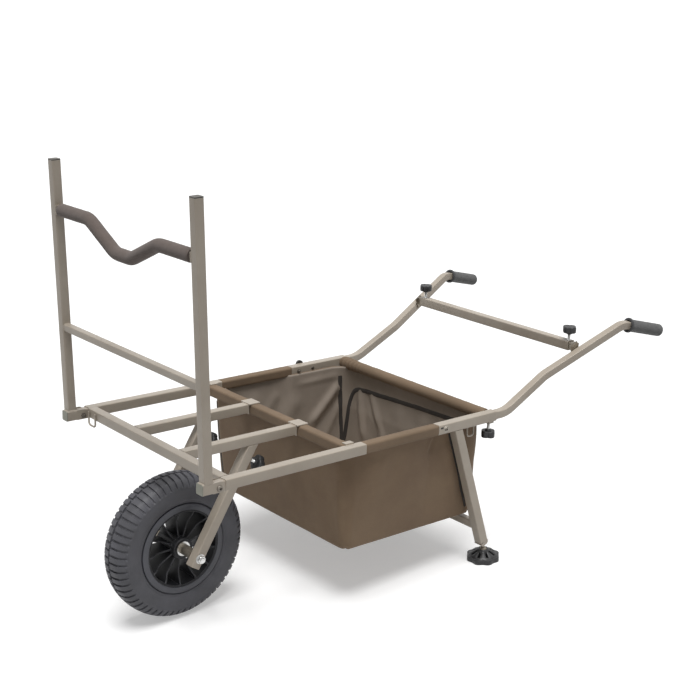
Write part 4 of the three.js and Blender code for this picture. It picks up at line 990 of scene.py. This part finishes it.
# Folds of the lining, as heights inward
lining_folds = {
    "right": [((852, -70), (745, -166), 12, 9.0), ((860, -96), (760, -188), 8, -5.0),
              ((862, -120), (790, -215), 12, 4.0), ((711, -50), (850, -46), 7, 2.5),
              ((700, -90), (600, -200), 24, 5.0), ((560, -60), (520, -200), 24, 4.0),
              ((640, -66), (590, -120), 14, 3.0)],
    "rear": [((205, -84), (176, -205), 11, 8.0), ((178, -80), (112, -172), 8, -5.0),
             ((156, -84), (84, -200), 13, 7.0), ((40, -90), (10, -220), 30, 4.0),
             ((-60, -84), (-90, -200), 26, 4.0), ((-190, -76), (-180, -210), 20, 5.0)],
}


def wall_fold(spot, normal, plan):
    """The height of all a wall's folds at a spot of a ring. They die away where the wall turns a corner."""
    if abs(normal.y) > abs(normal.x):
        way, place = ("right" if normal.y > 0 else "left"), (spot.x, spot.z)
    else:
        way, place = ("rear" if normal.x > 0 else "front"), (spot.y, spot.z)
    share = min(1, (max(abs(normal.x), abs(normal.y)) - corner_from) / corner_run)
    return share * sum(crease(place, line) for line in plan.get(way, ()))


def wall_rings(inset, amount, plan, outward):
    rings = []
    for row in range(wall_rows + 1):
        share = row / wall_rows
        z = between((tub_top, tub_bottom), share)
        front, rear = between(tub_front, share), between(tub_rear, share)
        near_floor = max(0, tub_bottom + tub_edge - z) / tub_edge
        low_part = max(0, tub_bottom + 3 * tub_edge - z) / (3 * tub_edge)
        tuck = tub_edge * (1 - sqrt(max(0, 1 - near_floor ** 2)))
        ring = []
        for spot, normal in rounded(rear - front, 2 * between(tub_half, share), between(rear_corner, share),
                                    ring_points, between(front_corner, share)):
            x, y = spot.x + (front + rear) / 2, spot.y
            ease = sin(pi * min(1, share * 1.05)) ** 0.5 if share < 0.95 else floor_folds
            fold = max(-valley_most, min(ridge_most, wall_fold(Vector((x, y, z)), normal, plan))) * outward
            out = (bulge(x, normal, share) + fold) * (1 - near_floor) + folds(x, y, z, amount) * ease
            out -= tuck + inset + corner_tuck * abs(normal.x * normal.y) * low_part ** 2
            ring.append(Vector((x + normal.x * out, y + normal.y * out, z + inset * near_floor)))
        rings.append(ring)
    return rings


def bag_shape(inset, amount, plan, outward):
    rings = wall_rings(inset, amount, plan, outward)
    last = rings[-1]
    middle = (tub_front[1] + tub_rear[1]) / 2
    for row in range(1, floor_rows + 1):
        share = row / floor_rows
        ring = []
        for spot in last:
            point = spot.lerp(Vector((middle, 0, spot.z)), share * 0.995)
            sag = floor_sag * sin(share * pi / 2) + folds(point.x, point.y, 0, amount * floor_folds) * share
            ring.append(Vector((point.x, point.y, spot.z - sag)))
        rings.append(ring)
    points, faces = loft(rings, "open")
    faces.append(tuple(range(len(points) - ring_points, len(points))))
    return points, [tuple(reversed(face)) for face in faces]


def unwrap(made, count, perimeter, down):
    """UVs in metres: round rings of a count of points, and down by the row."""
    layer = made.data.uv_layers.new(name="cloth")
    for polygon in made.data.polygons:
        corners = [made.data.loops[k].vertex_index for k in polygon.loop_indices]
        columns = [corner % count for corner in corners]
        wraps = max(columns) - min(columns) > count / 2
        for k, corner, column in zip(polygon.loop_indices, corners, columns):
            turn = column + (count if wraps and column < count / 2 else 0)
            layer.data[k].uv = (turn / count * perimeter, down[corner // count])


def bag(name, shape, material, thickness):
    """A cloth of the tub with its thickness inside and its weave laid round and down its walls."""
    made = piece(name, shape, deck, material, "frame", "fabric", 60)
    points = shape[0]
    down = [0.0]
    for above, below in zip(points[::ring_points], points[ring_points::ring_points]):
        down.append(down[-1] + (below - above).length * mm)
    around = zip(points[:ring_points], points[1:ring_points] + points[:1])
    unwrap(made, ring_points, sum((after - before).length for before, after in around) * mm, down)
    solid = made.modifiers.new("thickness", "SOLIDIFY")
    solid.thickness, solid.offset = thickness * mm, -1
    return made


outer_shape = bag_shape(0, 1.6, outer_folds, 1)
outer = bag("tub_outer_cloth", outer_shape, bag_cloth, 1.0)
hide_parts("tub")


# The lining is a thinner grey cloth inside the outer one. It hangs looser, in soft slanting folds. Dark
# strips down its far rear corner and along the top of its rear wall are painted shadow of the gap where its
# rear panel is set back. A brown binding covers the outer cloth's seam at the far front corner, with a dark
# strip beside it, and a dark strip beside the near leg is painted shadow between the wall and the leg.
inner_shape = bag_shape(cloth_gap, 3.0, lining_folds, -1)
lining = bag("tub_lining", inner_shape, lining_cloth, 0.6)

tape_thick, tape_sunk, tape_step, tape_rounds = 1.0, 0.4, 6.0, 6
# The dark strips: painted shadow inside the lining and beside the near leg, and a dark strip by the far front
# binding
dark_strip_cloth = cloth_finish("dark_cloth_strip", "2f2b27", "3d3833", 0.85)
brown_tape = cloth_finish("brown_binding_tape", "8d7b66", "9a8872", 0.85)
lining_walls = BVHTree.FromPolygons(*inner_shape)
outer_walls = BVHTree.FromPolygons(*outer_shape)
tub_middle = 650


def tape(name, corners, wide, walls, side, material):
    """A strip laid on a wall of the bag, inside or outside, along corners given by (x, y, z). It makes the
    binding and the dark strips.
    """
    spots = []
    for a, b in zip(corners, corners[1:]):
        run = Vector(b) - Vector(a)
        count = max(2, round(run.length / tape_step))
        spots += [Vector(a) + run * k / count for k in range(count + (b == corners[-1]))]
    laid = []
    for spot in spots:
        inner = Vector((tub_middle, spot.y * 0.4, spot.z))
        hit, normal, _, _ = walls.ray_cast(inner, spot - inner)
        facing = normal if normal.dot(spot - inner) * side > 0 else -normal
        laid.append((hit, facing))
    for _ in range(tape_rounds):
        laid[1:-1] = [((a[0] + b[0] * 2 + c[0]) / 4, (a[1] + b[1] * 2 + c[1]).normalized())
                      for a, b, c in zip(laid, laid[1:], laid[2:])]
    rings = []
    for i, (point, facing) in enumerate(laid):
        ahead = laid[min(i + 1, len(laid) - 1)][0] - laid[max(i - 1, 0)][0]
        beside = ahead.cross(facing).normalized() * wide / 2
        low, high = facing * -tape_sunk, facing * (tape_sunk + tape_thick)
        rings.append([point - beside + low, point - beside * 0.8 + high, point + beside * 0.8 + high,
                      point + beside + low])
    return piece(name, loft(rings), deck, material, "frame", "fabric", 60)


# Dark strips inside the lining: painted shadow of the gap where its rear panel is set back
lining_shadow_lines = (
    ("corner_painted_shadow", 13, [(856, 276, -46), (858, 272, -150), (860, 266, -236)]),
    ("rear_wall_painted_shadow", 14, [(868, 262, -236), (868, 246, -120), (868, 234, -88), (868, 218, -76),
                            (868, 39, -67), (868, -150, -60), (868, -240, -58)]))
# Strips on the outer cloth: the brown binding on the far front seam, a dark strip beside it, and a dark strip
# of painted shadow in the gap beside the near leg
outer_strip_lines = (
    ("front_corner_binding", 6, brown_tape, [(434, 264, -44), (438, 256, -150), (444, 248, -250)]),
    ("front_corner_seam", 7, dark_strip_cloth, [(430, 256, -44), (434, 248, -150), (440, 240, -250)]),
    ("leg_side_painted_shadow", 7, dark_strip_cloth, [(750, -284, -40), (781, -276, -120), (818, -268, -220),
                                      (832, -264, -258)]))
lining_shadows = [tape(name, line, wide, lining_walls, -1, dark_strip_cloth) for name, wide, line in lining_shadow_lines]
outer_strips = [tape(name, line, wide, outer_walls, 1, cloth) for name, wide, cloth, line in outer_strip_lines]


# Four hems carry the bag: its cloth is folded over the deck's tubes and sewn back to the walls. The front
# one wraps a square bar, the rear one a round tube, and each side one the tube between rail and sleeve.
hem_count = 48
hem_step, hem_girth, hem_tight, pleated_share = 3.0, 0.1, 0.93, 0.12
side_hem = (281.9, 308.5)
wrinkle_scale, wrinkle_round = 0.05, 1.5
pleat_run, pleat_round, pleat_floor = 0.2, 0.1, 0.3


def hem(name, start, end, width, height, corner, amount=0.5, pleats=0):
    """A hem along a tube, with wrinkles and, near its far end, pleats."""
    run = Vector(end) - Vector(start)
    way = run.normalized()
    rows = round(run.length / hem_step)
    outline = rounded(width, height, corner, hem_count)
    up = Vector((0, 0, 1))
    side = way.cross(up)
    rings = []
    for row in range(rows + 1):
        share = row / rows
        point = Vector(start) + run * share
        tight = hem_tight if row in (0, rows) else 1
        gathered = pleats * min(1, max(0, 1.5 - (1 - share) / pleated_share))
        ring = []
        for spot, normal in outline:
            wrinkle = amount * noise.noise(Vector((point.x, point.y, spot.x * wrinkle_round)) * wrinkle_scale)
            wrinkle += gathered * (pleat_floor - abs(cos(point.y * pleat_run + spot.x * pleat_round)) ** 5)
            out = spot * tight + normal * wrinkle
            ring.append(point + side * out.x + up * out.y)
        rings.append(ring)
    made = piece(name, loft(rings), deck, hem_cloth_painted_shade, "frame", "fabric", 60)
    unwrap(made, hem_count, hem_girth, [row * hem_step * mm for row in range(rows + 1)])
    return made


hem_bar_x, rear_tube_x = 417, 869
hem_z, hem_size, hem_reach = -13.8, 27, 282.4
rear_hem_size, rear_hem_corner = 30, 14.9
side_hem_from, side_hem_to, side_hem_high = 455.3, 685.7, 25.6
middle_z = -rail / 2
hems = [
    hem("front_hem", (hem_bar_x, -hem_reach, hem_z), (hem_bar_x, hem_reach, hem_z), hem_size, hem_size, 5),
    hem("rear_hem", (rear_tube_x, -hem_reach, middle_z), (rear_tube_x, hem_reach, middle_z),
        rear_hem_size, rear_hem_size, rear_hem_corner, amount=0.8, pleats=5.5)]
for side, sign in sides:
    y = sign * sum(side_hem) / 2
    hems.append(hem(f"{side}_hem", (side_hem_from, y, middle_z), (side_hem_to, y, middle_z),
                    side_hem[1] - side_hem[0], side_hem_high, 5.5))
